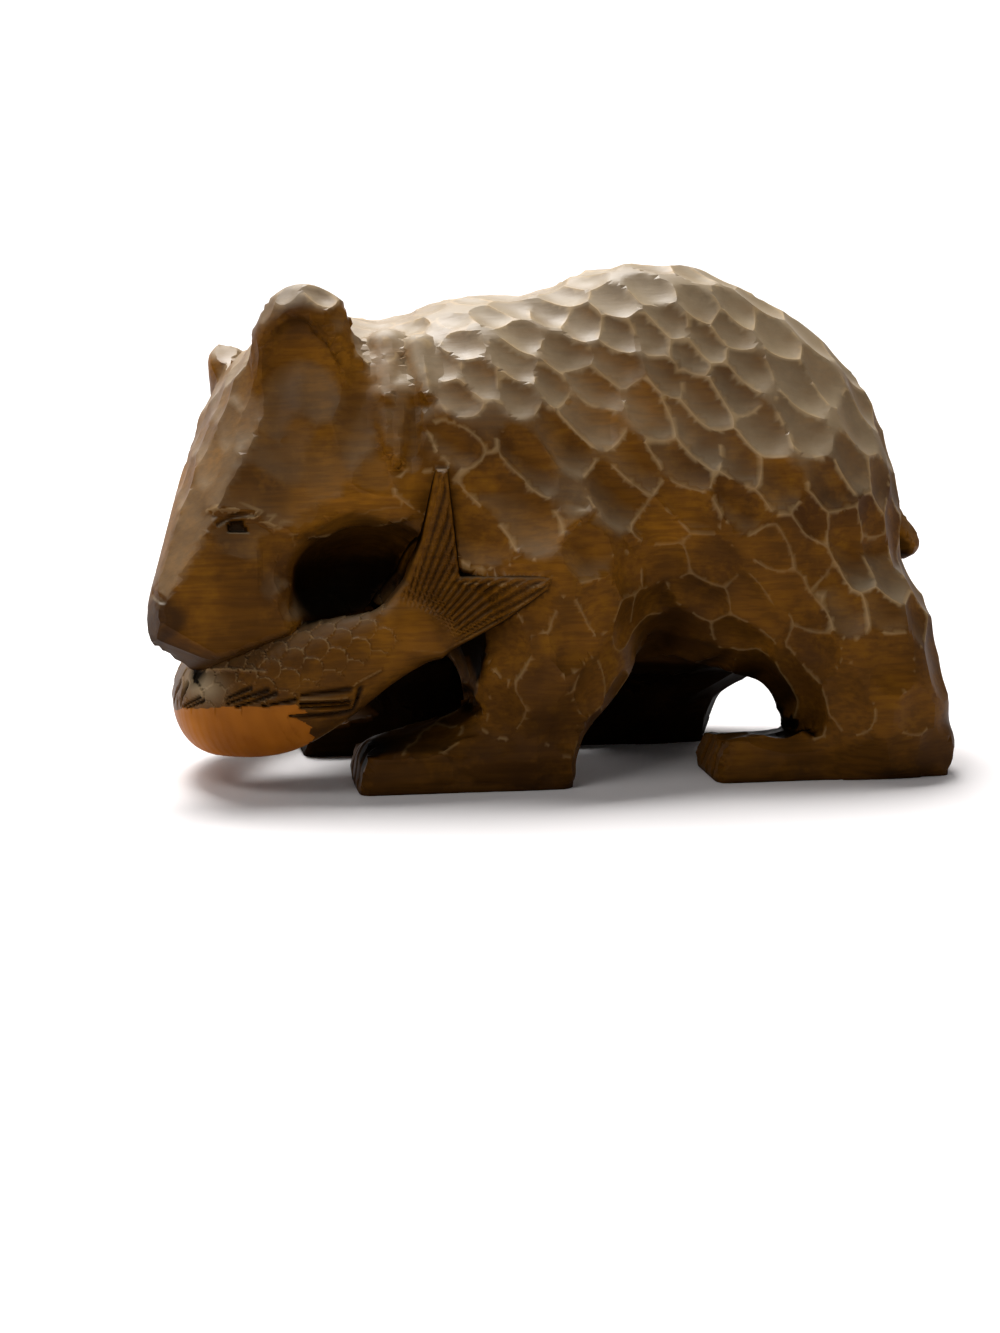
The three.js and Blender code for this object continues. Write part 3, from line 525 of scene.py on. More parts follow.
# %% Size and lie of the cuts
def smooth_step(x, low, high):
    t = np.clip((x - low) / (high - low), 0, 1)
    return t * t * (3 - 2 * t)

def falls(x, low, high):
    return 1 - smooth_step(x, low, high)

def strokes(p, n):
    """Length, width, depth and direction of a cut at each place."""
    f, l, u = in_head(p).T
    x, y, z = p.T
    size = np.empty((len(p), 3))
    size[:] = (17, 9.2, 1.35)
    fall = np.radians(36 + 24 * np.clip((x + 40) / 100, 0, 1))
    lie = np.stack([np.cos(fall), 0.45 * np.clip(y / 14, -1, 1), -np.sin(fall)], -1)
    def put(where, length, width, depth, direction=None):
        size[where] = (length, width, depth)
        if direction is not None:
            lie[where] = direction
    put(z > 72, 12.5, 8, 1.15)
    put((x > 38) & (z > 30), 15.5, 10.5, 1.25)
    put((x < 8) & (z < 60) & (y < -12), 22, 14, 1.4)
    put((x > -2) & (x < 36) & (z < 46) & (z > 20), 14, 12, 1.4)
    put((z < 26) & (z >= 9), 16, 12.5, 1.25, (0.25, 0, -1))
    put(z < 9, 14, 9, 0.4, (-1, 0, -0.1))
    inner = (np.abs(y) < 26) & (z < 40) & (z > 9)
    put(inner & (n[:, 1] < -0.2) & (y > 1) & (x > -8), 40, 5.6, 0.8, (-0.62, 0, -1))
    put(inner & (n[:, 1] < -0.2) & (y > 0) & (x <= -8), 36, 5.2, 0.7, (0.12, 0, -1))
    put(inner & (n[:, 1] > 0.3) & (y < -4), 30, 6.5, 0.6, (-0.3, 0, -1))
    put((n[:, 2] < -0.6) & (z > 8), 22, 10, 0.5, (1, 0, 0))
    on_face = (f > -8) & (x < -28)
    put(on_face & (u > 5), 14, 6.2, 0.5, HEAD[0] + 0.25 * HEAD[1])
    put(on_face & (np.abs(l) > 8) & (u < 9), 28, 17, 0.55, HEAD[0] - 0.5 * HEAD[2])
    put(on_face & (f > 28) & (u < 9), 40, 26, 0.14, HEAD[0])
    put(np.abs(ruff(p)) < 1.0, 20, 4.5, 0.1, (-0.12, 0, -1))
    put((x > 68) & (z > 36) & (z < 52) & (np.abs(y) < 8), 8, 5, 0.12)
    for _, _, axes, bowl, half in EARS:
        put(ellipsoid(p, bowl, half, axes) < 0.6, 16, 9, 0.35, axes[2])
    put(ellipsoid(p, *SCOOP) < 1.2, 24, 11, 0.35, (1, 0, 0.3))
    lie = unit(lie - (lie * n).sum(-1, keepdims=True) * n)
    return size, lie

# %% Spread the cuts
APART = 0.6          # least distance between two cuts, in parts of their length and width
chance = np.random.default_rng(5)

def spread_cuts(points, faces, normals, tries):
    corner = points[faces]
    area = norm(np.cross(corner[:, 1] - corner[:, 0], corner[:, 2] - corner[:, 0]))
    pick = chance.choice(len(faces), tries, p=area / area.sum())
    w = chance.random((tries, 2))
    w = np.where(w.sum(1, keepdims=True) > 1, 1 - w, w)
    w = np.stack([w[:, 0], w[:, 1], 1 - w.sum(1)], -1)[..., None]
    at = (corner[pick] * w).sum(1)
    n = unit((normals[faces[pick]] * w).sum(1))
    keep = at[:, 2] > 1.0
    at, n = at[keep], n[keep]
    size, lie = strokes(at, n)
    across = np.cross(n, lie)
    kept = []
    C = np.empty((0, 3))
    for i in range(len(at)):
        q = at[i] - C
        far = np.hypot(np.hypot((q @ lie[i]) / size[i, 0], (q @ across[i]) / size[i, 1]), (q @ n[i]) / 9)
        if not (far < APART).any():
            kept.append(i)
            C = np.vstack([C, at[i]])
    size[kept, 2] *= chance.uniform(0.8, 1.2, len(kept))
    return dict(at=at[kept], n=n[kept], lie=lie[kept], across=across[kept], size=size[kept])

cuts = spread_cuts(wood, faces, normals, 40000)
print("gouge cuts:", len(cuts["at"]))

# %% Depth of the lowest cut at each place
LEVEL = 0.5          # how far below the plain form the middle of a cut lies, in parts of its depth
PROUD = 0.75         # how far ridges may stand above the plain form, in mm

def cut_height(p, n, ids):
    """How far the surface of each cut lies above the place, along the cut's own normal."""
    q = p - cuts["at"][ids]
    u = (q * cuts["lie"][ids]).sum(-1)
    v = (q * cuts["across"][ids]).sum(-1)
    w = (q * cuts["n"][ids]).sum(-1)
    length, width, depth = cuts["size"][ids].T
    reach = np.where(u > 0, 0.36 * length, 0.75 * length)
    turned = falls((n * cuts["n"][ids]).sum(-1), 0.3, 0.7)
    rise = (u / reach)**2 + (v / (0.5 * width))**2 - LEVEL + 4 * turned
    return depth * rise - np.minimum(w, 0.4 * depth)

def lowest(points, normals):
    order = np.argsort(points[:, 0])
    xs = points[order, 0]
    best = np.full(len(points), PROUD)
    second = np.full(len(points), PROUD)
    owner = np.full(len(points), -1)
    for k, at in enumerate(cuts["at"]):
        reach = cuts["size"][k, 0] * 1.05 + 2
        some = order[np.searchsorted(xs, at[0] - reach):np.searchsorted(xs, at[0] + reach)]
        some = some[(np.abs(points[some, 1:] - at[1:]) < reach).all(1)]
        some = some[(normals[some] @ cuts["n"][k]) > 0.2]
        h = cut_height(points[some], normals[some], np.full(len(some), k))
        lower = h < best[some]
        second[some] = np.where(lower, best[some], np.minimum(second[some], np.maximum(h, best[some])))
        owner[some[lower]] = k
        best[some[lower]] = h[lower]
    return best, second, owner

# %% [markdown]
# ## Crisp ridges
# Where two cuts meet they leave a ridge, and a net of millimetre cells would blur it. So each point that
# lies close to a ridge is first slid onto it, unless that would fold a face. Then the wood is lowered to
# the cuts, less so on the locks of the ruff.

# %% Slide points onto the ridges and cut
SLIDE = 0.52         # a point slides along an edge of the net by less than this share of it
RIDGE_BAND = 0.10    # where two cuts differ by less than this, in mm, the ridge is rubbed pale

def edges_of(faces):
    e = np.sort(np.concatenate([faces[:, [0, 1]], faces[:, [1, 2]], faces[:, [2, 0]]]), axis=1)
    return np.unique(e, axis=0)

depth, other, owner = lowest(wood, normals)
pairs = edges_of(faces)
pairs = pairs[(owner[pairs[:, 0]] != owner[pairs[:, 1]]) & (owner[pairs] >= 0).all(1)]
fa, fb = [cut_height(wood[end], normals[end], owner[pairs[:, 0]])
          - cut_height(wood[end], normals[end], owner[pairs[:, 1]]) for end in pairs.T]
share = np.clip(fa / np.where(np.abs(fa - fb) < 1e-9, 1e-9, fa - fb), 0, 1)
target = wood[pairs[:, 0]] + (wood[pairs[:, 1]] - wood[pairs[:, 0]]) * share[:, None]
ends = np.concatenate([pairs[:, 0], pairs[:, 1]])
away = np.concatenate([share, 1 - share])
target = np.concatenate([target, target])
order = np.argsort(-away)
order = order[away[order] < SLIDE]
nearest = np.full(len(wood), -1)
nearest[ends[order]] = order
slide = (nearest >= 0) & (wood[:, 2] > 0.5)
before = wood.copy()
for _ in range(5):
    wood = before.copy()
    wood[slide] = target[nearest[slide]]
    c = wood[faces]
    turned = unit(np.cross(c[:, 1] - c[:, 0], c[:, 2] - c[:, 0]))
    folded = (turned * unit(normals[faces].mean(1))).sum(1) < 0.5
    slide[faces[folded].ravel()] = False
depth, other, owner = lowest(wood, normals)
depth[wood[:, 2] < 0.5] = 0
lock_part = falls(np.abs(ruff(wood)), 0.3, 1.5)
depth *= 1 - 0.85 * lock_part
fade = smooth_step(wood[:, 2], 0.3, 2.5)
cut_normals = np.where(owner[:, None] >= 0, cuts["n"][owner], normals)
lean = np.maximum((cut_normals * normals).sum(-1), 0.6)
coat = wood + normals * (depth / lean * fade)[:, None]
coat[:, 2] = np.maximum(coat[:, 2], 0)
deep_enough = (owner >= 0) * np.clip(cuts["size"][owner, 2] - 0.25, 0, 1)
ridge = np.clip(1 - (other - depth) / RIDGE_BAND, 0, 1) * fade * deep_enough
print("points slid onto ridges:", int(slide.sum()), " deepest cut", round(float(-depth.min()), 2), "mm")

# %% Put a mesh into the scene
def new_piece(name, points, faces):
    mesh = bpy.data.meshes.new(name)
    mesh.from_pydata((points / 1000).tolist(), [], faces.tolist())
    mesh.update()
    piece = bpy.data.objects.new(name, mesh)
    bpy.context.scene.collection.objects.link(piece)
    return piece

def on_points(piece, name):
    """The place (co) or the normal of every point."""
    values = np.empty(len(piece.data.vertices) * 3)
    piece.data.vertices.foreach_get(name, values)
    return values.reshape(-1, 3)

def select_only(piece):
    bpy.ops.object.select_all(action="DESELECT")
    piece.select_set(True)
    bpy.context.view_layer.objects.active = piece

# %% Brow line, a low step above the eye and along the near cheek
STEP_X = [-68, -64, -60, -55, -50, -44, -36, -28]
STEP_Z = [53.6, 54.0, 52.8, 50.2, 48.8, 48.6, 50.4, 52.6]
over = coat[:, 2] - np.interp(coat[:, 0], STEP_X, STEP_Z)
fold = 0.7 * np.exp(-np.maximum(over, 0) / 3) * smooth_step(over, -0.7, 0.2)
fold *= smooth_step(coat[:, 0], -69, -65) * falls(coat[:, 0], -31, -27)
fold *= smooth_step(-coat[:, 1], 20, 23)
coat = coat + normals * fold[:, None]
ridge = np.maximum(ridge, 0.8 * (np.abs(over) < 0.5) * (fold > 0.2))
bear_piece = new_piece("bear", coat, faces)
print("highest place of the brow line", round(float(fold.max()), 2), "mm")

# %% [markdown]
# ## The salmon's net
# The salmon carries finer work than the bear, so its net has cells of 0.4 mm. Its scales, fin
# strokes and tail rays are cut as a carver does with a small V tool and a small gouge: each is a change in
# depth along the surface.

# %% Net of the salmon
FINE = 0.42
lines, value = sample(salmon, (-80, -40, 2), (0, 32, 65), FINE)
fish, fish_faces = lay_net(lines, value)
fish = settle(salmon, fish, FINE)
fish_normals = unit(slopes(salmon, fish))
report("salmon net:", fish, fish_faces)

# %% Scales, strokes, rays
run, high, out, wide, deep, thick = along_salmon(fish)
angle = np.arctan2(high / deep, np.where(out < 0, 1, -1) * wide / thick)
round_body = np.where(out < 0, angle, np.pi - angle)
girth = round_body * (deep + thick) * 0.5
x, y, z = fish.T
fan_edge = outline_distance(x, z, FAN)
on_fan = smooth_step(-fan_edge, 0.0, 1.0) * smooth_step(x, -35.0, -31.0)

def scale_relief(s, g, long=4.4, wide=2.7):
    """Overlapping scales: each rises towards its free edge, which points to the tail."""
    best = np.full(s.shape, -1e9)
    height, line = np.zeros_like(s), np.zeros_like(s)
    row0 = np.floor(g / wide)
    for dr in (-1, 0, 1):
        row = row0 + dr
        offset = 0.5 * long * np.mod(row, 2)
        col0 = np.floor((s - offset) / long)
        for dc in (-1, 0, 1, 2):
            cs = (col0 + dc) * long + offset
            cg = (row + 0.5) * wide
            r = np.hypot((s - cs) / (0.62 * long), (g - cg) / (0.74 * wide))
            own = (r < 1) & (cs > best)
            best = np.where(own, cs, best)
            height = np.where(own, (cs - s) / long, height)
            line = np.where(own, smooth_step(r, 0.80, 0.95), line)
    return height, line

above_belly = smooth_step(high / deep, -0.30, -0.12)
scaly = above_belly * smooth_step(run, 3, 7) * falls(run, 46, 52)
scaly *= 1 - smooth_step(x, -34, -30) * (z > 27)
scaly += above_belly * smooth_step(run, 54, 57) * falls(run, 70, 72) * (y > -6)
scales, scale_lines = scale_relief(run, girth)
relief = 0.30 * scaly * scales
far_head = y > 0
gill_cover = np.abs(run - 73.5 - 2.2 * (high / deep)**2)
relief -= 0.6 * far_head * np.clip(1 - gill_cover / 0.8, 0, 1)
far_eye = np.hypot(run - 79.5, high - 1.4)
outer_side = out * np.sign(out[np.argmax(y)]) > 0
relief -= 0.5 * far_head * outer_side * np.clip(1 - np.abs(far_eye - 1.3) / 0.5, 0, 1)
RAYS_FROM, RAY_EVERY = (-35.2, 22.6), 3.5        # place in side view, and degrees from ray to ray
from_root = x - RAYS_FROM[0], z - RAYS_FROM[1]
ray = np.degrees(np.arctan2(from_root[1], from_root[0]))
ray_wave = np.abs(np.mod(ray / RAY_EVERY, 1) - 0.5) * 2
on_rays = on_fan * smooth_step(np.hypot(*from_root), 13, 17) * smooth_step(-fan_edge, 0.3, 0.8)
relief += on_rays * 0.7 * (ray_wave**1.3 - 0.8)
groove = on_rays * smooth_step(1 - ray_wave, 0.35, 0.85)
near_side = fish_normals[:, 1] < 0.1
print("rays over the tail fan:", len(set((ray[on_rays > 0] // RAY_EVERY).tolist())))

# %% Fins and strokes on the near side
def segment_distance(a, b):
    """Distance along the surface from the straight line between two places."""
    t, q = to_segment(fish, a, b)
    sunk = (q * fish_normals).sum(-1)
    return norm(q - sunk[:, None] * fish_normals) + 9 * (np.abs(sunk) > 2.5), t

# From, to, half width
STROKES = [
    ((-73, -15.6, 19.6), (-74.2, -11.7, 15.4), 0.9), ((-71.8, -19.6, 20.3), (-73, -18.4, 16.1), 0.75),
    ((-69.6, -24.4, 18.6), (-72.6, -19.6, 15.9), 0.5), ((-68.9, -25.4, 18.2), (-71.9, -21.2, 16.0), 0.45),
    ((-60.6, -31.1, 21.3), (-64.9, -28.8, 19.1), 0.7), ((-57.4, -32.6, 21.1), (-64.8, -29.1, 18.2), 0.7),
    ((-56.0, -33.2, 20.5), (-63.0, -30.2, 17.7), 0.7), ((-52.4, -34.0, 19.4), (-58.5, -32.5, 18.1), 0.5),
    ((-42.4, -34.3, 21.0), (-51.2, -34.1, 20.3), 0.8), ((-42.4, -33.6, 18.6), (-51.6, -34.1, 18.6), 0.4),
    ((-42.4, -33.4, 17.8), (-51.6, -34.1, 17.9), 0.5), ((-41.9, -32.3, 16.5), (-53.5, -33.6, 16.3), 0.85),
    ((-40.4, -34.0, 20.9), (-41.8, -32.2, 15.4), 0.85)]
PALE_LINES = [
    ((-36.6, -34.2, 24.6), (-40.9, -34.4, 22.5)), ((-40.9, -34.4, 22.5), (-42.4, -34.3, 21.4)),
    ((-43.1, -31.4, 14.8), (-49.3, -30.9, 11.1)), ((-43.0, -34, 19.6), (-51.5, -34.1, 19.4)),
    ((-67.9, -23.6, 23.6), (-57.5, -31.0, 24.0))]
stroke = np.zeros(len(fish))
for a, b, half in STROKES:
    d, t = segment_distance(a, b)
    stroke = np.maximum(stroke, 1 - d / (half * (1.15 - 0.7 * t)))
stroke = np.clip(stroke, 0, 1) * near_side
relief *= 1 - stroke
relief -= 0.75 * stroke
pale_line = np.zeros(len(fish))
for a, b in PALE_LINES:
    pale_line = np.maximum(pale_line, 1 - segment_distance(a, b)[0] / 0.5)
pale_line = np.clip(pale_line, 0, 1) * (1 - stroke)
relief += 0.3 * pale_line
back_fin = np.exp(-((x + 50.6)**2 + (z - 34.4)**2) / 2.2) * 1.1
relief += back_fin * (fish_normals[:, 2] > -0.2)

# %% Pale belly and chipped edges
BELLY_EDGE = [(-80, 13), (-73.9, 14.3), (-72.6, 15.9), (-64.2, 17.7), (-58.5, 18.0), (-52.4, 18.6),
              (-51.6, 17.7), (-49.8, 17.0), (-53.5, 16.3), (-51.3, 15.3), (-49.4, 14.0), (-50.1, 12.8),
              (-48.8, 11.8), (-50.5, 9.5), (-52.5, 7.0), (-60, 0), (-80, 0)]
belly = smooth_step(-outline_distance(x, z, BELLY_EDGE), -0.15, 0.15)
far_part = falls(high / deep, -0.30, -0.22) * falls(run, 66, 70)
belly = np.where(y < -6, belly * (1 - stroke), far_part)
chips = np.sin(x * 1.9) * np.sin(x * 0.83 + z * 2.3) > -0.15
trailing = np.clip(1 - np.abs(z - 40.0 + 0.02 * (x + 22)) / 0.8, 0, 1) * (x > -21) * (x < -5) * chips
low_edge = np.clip(1 - np.abs(fan_edge + 0.9) / 0.9, 0, 1) * (z < 38.5) * (x > -31)
pale_line = np.maximum(pale_line, np.maximum(0.9 * trailing, 0.7 * low_edge) * (fan_edge < 0.1))
pale_line = np.maximum(pale_line, 0.65 * scale_lines * scaly)
salmon_relief = fish + fish_normals * relief[:, None]
salmon_piece = new_piece("salmon", salmon_relief, fish_faces)
print("share of the salmon left pale as its belly:", round(float(belly.mean()), 3))

# %% [markdown]
# ## One block
# Bear and salmon are one piece of wood, so the two nets are joined by a Boolean union, and the crease
# between them is a real corner in the mesh.

# %% Join salmon and bear
select_only(bear_piece)
join = bear_piece.modifiers.new("join salmon", "BOOLEAN")
join.operation = "UNION"
join.solver = "MANIFOLD"
join.object = salmon_piece
bpy.ops.object.modifier_apply(modifier=join.name)
bpy.data.objects.remove(salmon_piece)
bear_piece.name = "bear_with_salmon"
carving = bear_piece
report("joined:", carving.data.vertices, carving.data.polygons)

# %% [markdown]
# ## Eye, nostril, toes
# These are the smallest cuts. The faces around them are first divided finer, and then pushed in.

# %% Divide faces finer round the small cuts
EYE = np.array([-62.2, -27.5, 50.9])
NOSTRIL = np.array([-77.0, -29.2, 38.2])

def divide_near(piece, spots):
    """Split the edges of faces whose points lie within a radius of a spot."""
    data = bmesh.new()
    data.from_mesh(piece.data)
    at = np.array([v.co for v in data.verts]) * 1000
    near = np.zeros(len(at), bool)
    for middle, radius in spots:
        near |= norm(at - middle) < radius
    data.verts.ensure_lookup_table()
    picked = [e for e in data.edges if near[e.verts[0].index] and near[e.verts[1].index]]
    bmesh.ops.subdivide_edges(data, edges=picked, cuts=1, use_grid_fill=True)
    bmesh.ops.triangulate(data, faces=[f for f in data.faces if len(f.verts) > 3])
    data.to_mesh(piece.data)
    data.free()

TOES = []
for toe_end, middle in ((-40.0, -21.5), (28.4, -21.5), (-47.8, 15.0), (-13.0, 18.0)):
    TOES += [np.array([toe_end, middle + 4.6 * k, 5.0]) for k in (-1, 0, 1)]
divide_near(carving, [(EYE, 6.0), (NOSTRIL, 4.5)])
divide_near(carving, [(EYE, 4.5), (NOSTRIL, 3.2)])
divide_near(carving, [(t, 3.4) for t in TOES])
report("after dividing:", carving.data.vertices, carving.data.polygons)

# %% Push in the small cuts
spot, spot_normals = on_points(carving, "co") * 1000, on_points(carving, "normal")
face_along = unit(np.array([0.93, 0.0, 0.12]))
face_up = np.array([-0.12, 0.0, 0.99])
q = spot - EYE
along, rise = q @ face_along, q @ face_up
near_face = (spot[:, 1] < -20) & (norm(q) < 8)
notch_length = np.abs(along) / 1.9 + 0.25 * (rise + along * 0.3 > 0.2)
notch = np.maximum(notch_length, np.abs(rise + 0.15 * along) / 1.1)
push = np.where(near_face, -0.95 * falls(notch, 0.6, 1.15), 0)
lid_line = np.abs(rise - 1.9 + 0.05 * (along - 1)**2)
push += np.where(near_face & (np.abs(along) < 3.6), -0.4 * falls(lid_line, 0.15, 0.6), 0)
q = spot - NOSTRIL
hole = np.hypot((q @ face_along) / 1.6, (q @ face_up + 0.4 * (q @ face_along)) / 0.9)
push += np.where(norm(q) < 5, -0.3 * falls(hole, 0.5, 1.15), 0)
for t in TOES:
    side = np.abs(spot[:, 1] - t[1])
    reach = np.abs(spot[:, 0] - t[0])
    between_toes = falls(side, 0.1, 0.9) * falls(reach, 1.6, 3.4)
    push -= 0.5 * between_toes * (spot[:, 2] > 0.6) * (spot[:, 2] < 8.8)
spot = spot + spot_normals * push[:, None]
spot[:, 2] = np.maximum(spot[:, 2], 0)
# The small cuts are darkened in the colour as painted shade, the more the deeper they go.
small_cut_shade = smooth_step(-push, 0.15, 0.6)
carving.data.vertices.foreach_set("co", (spot / 1000).ravel())
carving.data.update()
print("deepest small cut", round(float(-push.min()), 2), "mm")

# %% [markdown]
# ## Marks of making and wear, painted shade and painted sheen
# Some of the look follows the surface and not the grain: ridges rubbed pale, the salmon's belly left
# light, pale chips along the tail. Painted shade darkens the hollows, the grooves and the undersides, a
# painted grey sheen lies on what faces up, and a painted highlight sits in the eye. They are kept as
# values on the points, and the material reads them.

# %% Values on the points
def nearest_values(piece, source, *layers):
    tree = KDTree(len(source))
    for i, p in enumerate(source):
        tree.insert(p, i)
    tree.balance()
    found = [tree.find(p) for p in on_points(piece, "co") * 1000]
    index = np.array([f[1] for f in found])
    distance = np.array([f[2] for f in found])
    return [np.where(distance < 1.2, layer[index], 0) for layer in layers]

def line_share(points, line, half):
    """1 on a line through the given places, falling to 0 at half a width away."""
    near = np.min([norm(to_segment(points, a, b)[1]) for a, b in zip(line, line[1:])], axis=0)
    return np.clip(1.4 - 1.4 * near / half, 0, 1)

BROW_LINE = [(-65.6, -26.4, 54.2), (-61.6, -26.4, 55.1), (-54.3, -27.4, 51.9), (-49.9, -27.5, 50.7),
             (-45.6, -26.6, 50.3), (-37.0, -26.4, 53.3), (-32.1, -27.0, 53.9)]
CHEEK_LINE = [(-54.7, -27.5, 51.5), (-53.7, -27.8, 49.9), (-51.4, -27.2, 46.8), (-49.6, -26.0, 43.0),
              (-49.2, -25.5, 39.5)]
# A painted highlight in the eye, a pale spot in the notch.
EYE_HIGHLIGHT = [(-62.6, -27.6, 50.3), (-61.0, -27.8, 50.2)]

# %% How closely wood stands round a place, which sets the painted shade
def shade_from_occlusion(p, n):
    """0 in the open, 1 in a deep hollow."""
    total = np.zeros(len(p))
    for reach, weight in ((2.5, 0.1), (6.0, 0.35), (13.0, 0.55)):
        ahead = p + n * reach
        room = np.minimum(standing_bear(ahead), salmon(ahead))
        total += weight * np.clip((reach - room) / reach, 0, 1)
    return total

def both(on_bear, on_fish):
    """Values on the bear's points, followed by values on the salmon's."""
    return np.concatenate([np.broadcast_to(on_bear, len(coat)), np.broadcast_to(on_fish, len(fish))])

# Painted shade along the salmon's strokes and the tail's grooves.
groove_shade = np.maximum(np.clip(1.3 * stroke, 0, 1), 0.75 * groove)
wear_and_eye_highlight, pale, fish_groove_shade, fishy = nearest_values(
    carving, np.vstack([coat, salmon_relief]),
    both(ridge, pale_line), both(0.0, belly), both(0.0, groove_shade), both(0.0, 1.0))
spot, spot_normals = on_points(carving, "co") * 1000, on_points(carving, "normal")
# Painted shade: hollows are darkened in the colour by how closely wood stands round them.
painted_shade = shade_from_occlusion(spot, spot_normals)
print("mean shelter before it is set by hand", round(float(painted_shade.mean()), 3))

# %% Painted shade: darker in the scoop and under the belly, lighter at the mouth and on the back
MOUTH = np.array([-60, -28, 26.5])
x, y, z = spot.T
up = spot_normals[:, 2]
bare = 1 - fishy                     # 1 on the bear, 0 on the salmon
in_scoop = falls(ellipsoid(spot, *SCOOP), 0.5, 4.5)
scoop_shade = in_scoop * bare * smooth_step(y, -31, -22) * (0.35 + 0.65 * smooth_step(-z, -50, -41))
painted_shade = np.maximum(painted_shade * (1 - 0.8 * in_scoop * bare), 0.64 * scoop_shade)
painted_shade *= 1 - 0.6 * smooth_step(z, 56, 66)
# Painted shade under the belly and between the legs.
underside_shade = smooth_step(y, -13, -9) * falls(z, 44, 52)
underside_shade *= falls(spot_normals[:, 1], 0.2, 0.6)
underside_shade *= 1 - smooth_step(up, 0.3, 0.7) * (z < 14)
painted_shade = np.maximum(painted_shade, 0.62 * underside_shade * bare * (np.abs(x - 8) < 62))
to_mouth = norm(spot - MOUTH)
painted_shade *= 1 - 0.8 * falls(to_mouth, 8, 13) * (y < -18)

# %% Painted grey sheen on what faces up, dark nose, lines rubbed pale, painted eye highlight
SALMON_CHEEK = np.array([-69.0, -22.5, 21.0])
painted_sheen_from = 72 - 0.23 * (x + 25)     # above this height the painted sheen is denser
low_share = 0.25 + 0.75 * smooth_step(z, 14, 40)
# How far a place faces up, for the painted sheen on tops and painted shade below; less low down, more high
# up, less on the salmon.
upward = 0.5 + 0.5 * up * np.where((up > 0) & (fishy < 0.5), low_share, 1)
upward += 0.11 * smooth_step(z - painted_sheen_from, -4, 10) * smooth_step(x, -38, -28)
upward = np.where(fishy > 0.5, np.minimum(upward, 0.5 + 0.62 * (upward - 0.5)), upward)
# A painted sheen spot on the salmon's cheek.
painted_sheen = np.exp(-(((spot - SALMON_CHEEK) / (3.6, 9, 2.6))**2).sum(1)) * fishy
nose = in_head(spot)
nose_dark = smooth_step(nose[:, 0], 46.0, 50.5) * smooth_step(nose[:, 2], -7.5, -4.5) * bare
# Pale lines along brow and cheek are wear; the pale spot in the eye is a painted highlight.
for line, strength in ((BROW_LINE, 0.7 * bare), (CHEEK_LINE, 0.7 * bare), (EYE_HIGHLIGHT, 1.0)):
    wear_and_eye_highlight = np.maximum(wear_and_eye_highlight, strength * line_share(spot, line, 0.8))
# Among these values: painted shade for the grooves and small cuts, painted shade for the hollows and
# undersides, and a painted sheen spot on the salmon.
layers = {"wear_and_eye_highlight": wear_and_eye_highlight, "pale": pale, "sunk": np.maximum(fish_groove_shade, small_cut_shade), "shade_from_occlusion": painted_shade,
          "nose": nose_dark, "painted_sheen": painted_sheen, "upward": upward}
for name, values in layers.items():
    carving.data.attributes.new(name, "FLOAT", "POINT").data.foreach_set("value", values)
print("mean shelter", round(float(painted_shade.mean()), 3), " worn", round(float(wear_and_eye_highlight.mean()), 3))

# %% [markdown]
# ## Move the figure to its place
# The solid is centred over the origin, so the carving is moved by the same small amount, in the mesh.

# %% Centre and shade
CENTRE = np.array([1.09224, 2.39689, 0.0])
carving.data.transform(Matrix.Translation(Vector(CENTRE / 1000)))
select_only(carving)
bpy.ops.object.shade_smooth_by_angle(angle=math.radians(16))
report("carving:", carving.data.vertices, carving.data.polygons)

# %% [markdown]
# ## Stained and varnished wood
# The real surface is a light softwood or linden, stained dark brown and varnished. The stain is uneven:
# golden where the gouge crossed the grain. Painted shade makes the colour nearly black in the hollows and
# darker towards the bottom and on what faces down, and a painted dull grey sheen lies on what faces up.
# The grain runs along the block, as fine streaks about a millimetre apart.

# %% Material helpers
wood_material = bpy.data.materials.new("stained varnished wood")
wood_material.use_nodes = True
tree = wood_material.node_tree
tree.nodes.clear()

def linear(hexa):
    """An sRGB hex value as the linear colour that the shader wants."""
    rgb = [int(hexa[i:i + 2], 16) / 255 for i in (1, 3, 5)]
    return (*[c / 12.92 if c <= 0.04045 else ((c + 0.055) / 1.055)**2.4 for c in rgb], 1.0)

def node(kind, inputs=None, **settings):
    """Add a node, set its settings, and set or link its inputs."""
    made = tree.nodes.new(kind)
    for key, value in settings.items():
        setattr(made, key, value)
    for key, value in (inputs or {}).items():
        if isinstance(value, bpy.types.NodeSocket):
            tree.links.new(value, made.inputs[key])
        else:
            made.inputs[key].default_value = value
    return made

def ramp(value, *stops):
    made = node("ShaderNodeValToRGB", {"Fac": value})
    band = made.color_ramp
    while len(band.elements) < len(stops):
        band.elements.new(0.5)
    for element, (place, colour) in zip(band.elements, stops):
        element.position = place
        element.color = linear(colour) if isinstance(colour, str) else (colour, colour, colour, 1)
    return made.outputs["Color"]

def mix(factor, a, b):
    return node("ShaderNodeMix", {0: factor, 6: a, 7: b}, data_type="RGBA").outputs[2]

def tint(under_it, colour, value, *stops):
    """Lay a colour over what is there, by as much as the ramp of a value says."""
    return mix(ramp(value, *stops), under_it, linear(colour))

def maths(operation, a, b):
    return node("ShaderNodeMath", {0: a, 1: b}, operation=operation).outputs[0]

def noise(at, scale, detail, rough):
    return node("ShaderNodeTexNoise", {"Vector": at, "Scale": scale, "Detail": detail,
                                       "Roughness": rough}).outputs["Fac"]

def layer(name):
    return node("ShaderNodeAttribute", attribute_name=name).outputs["Fac"]

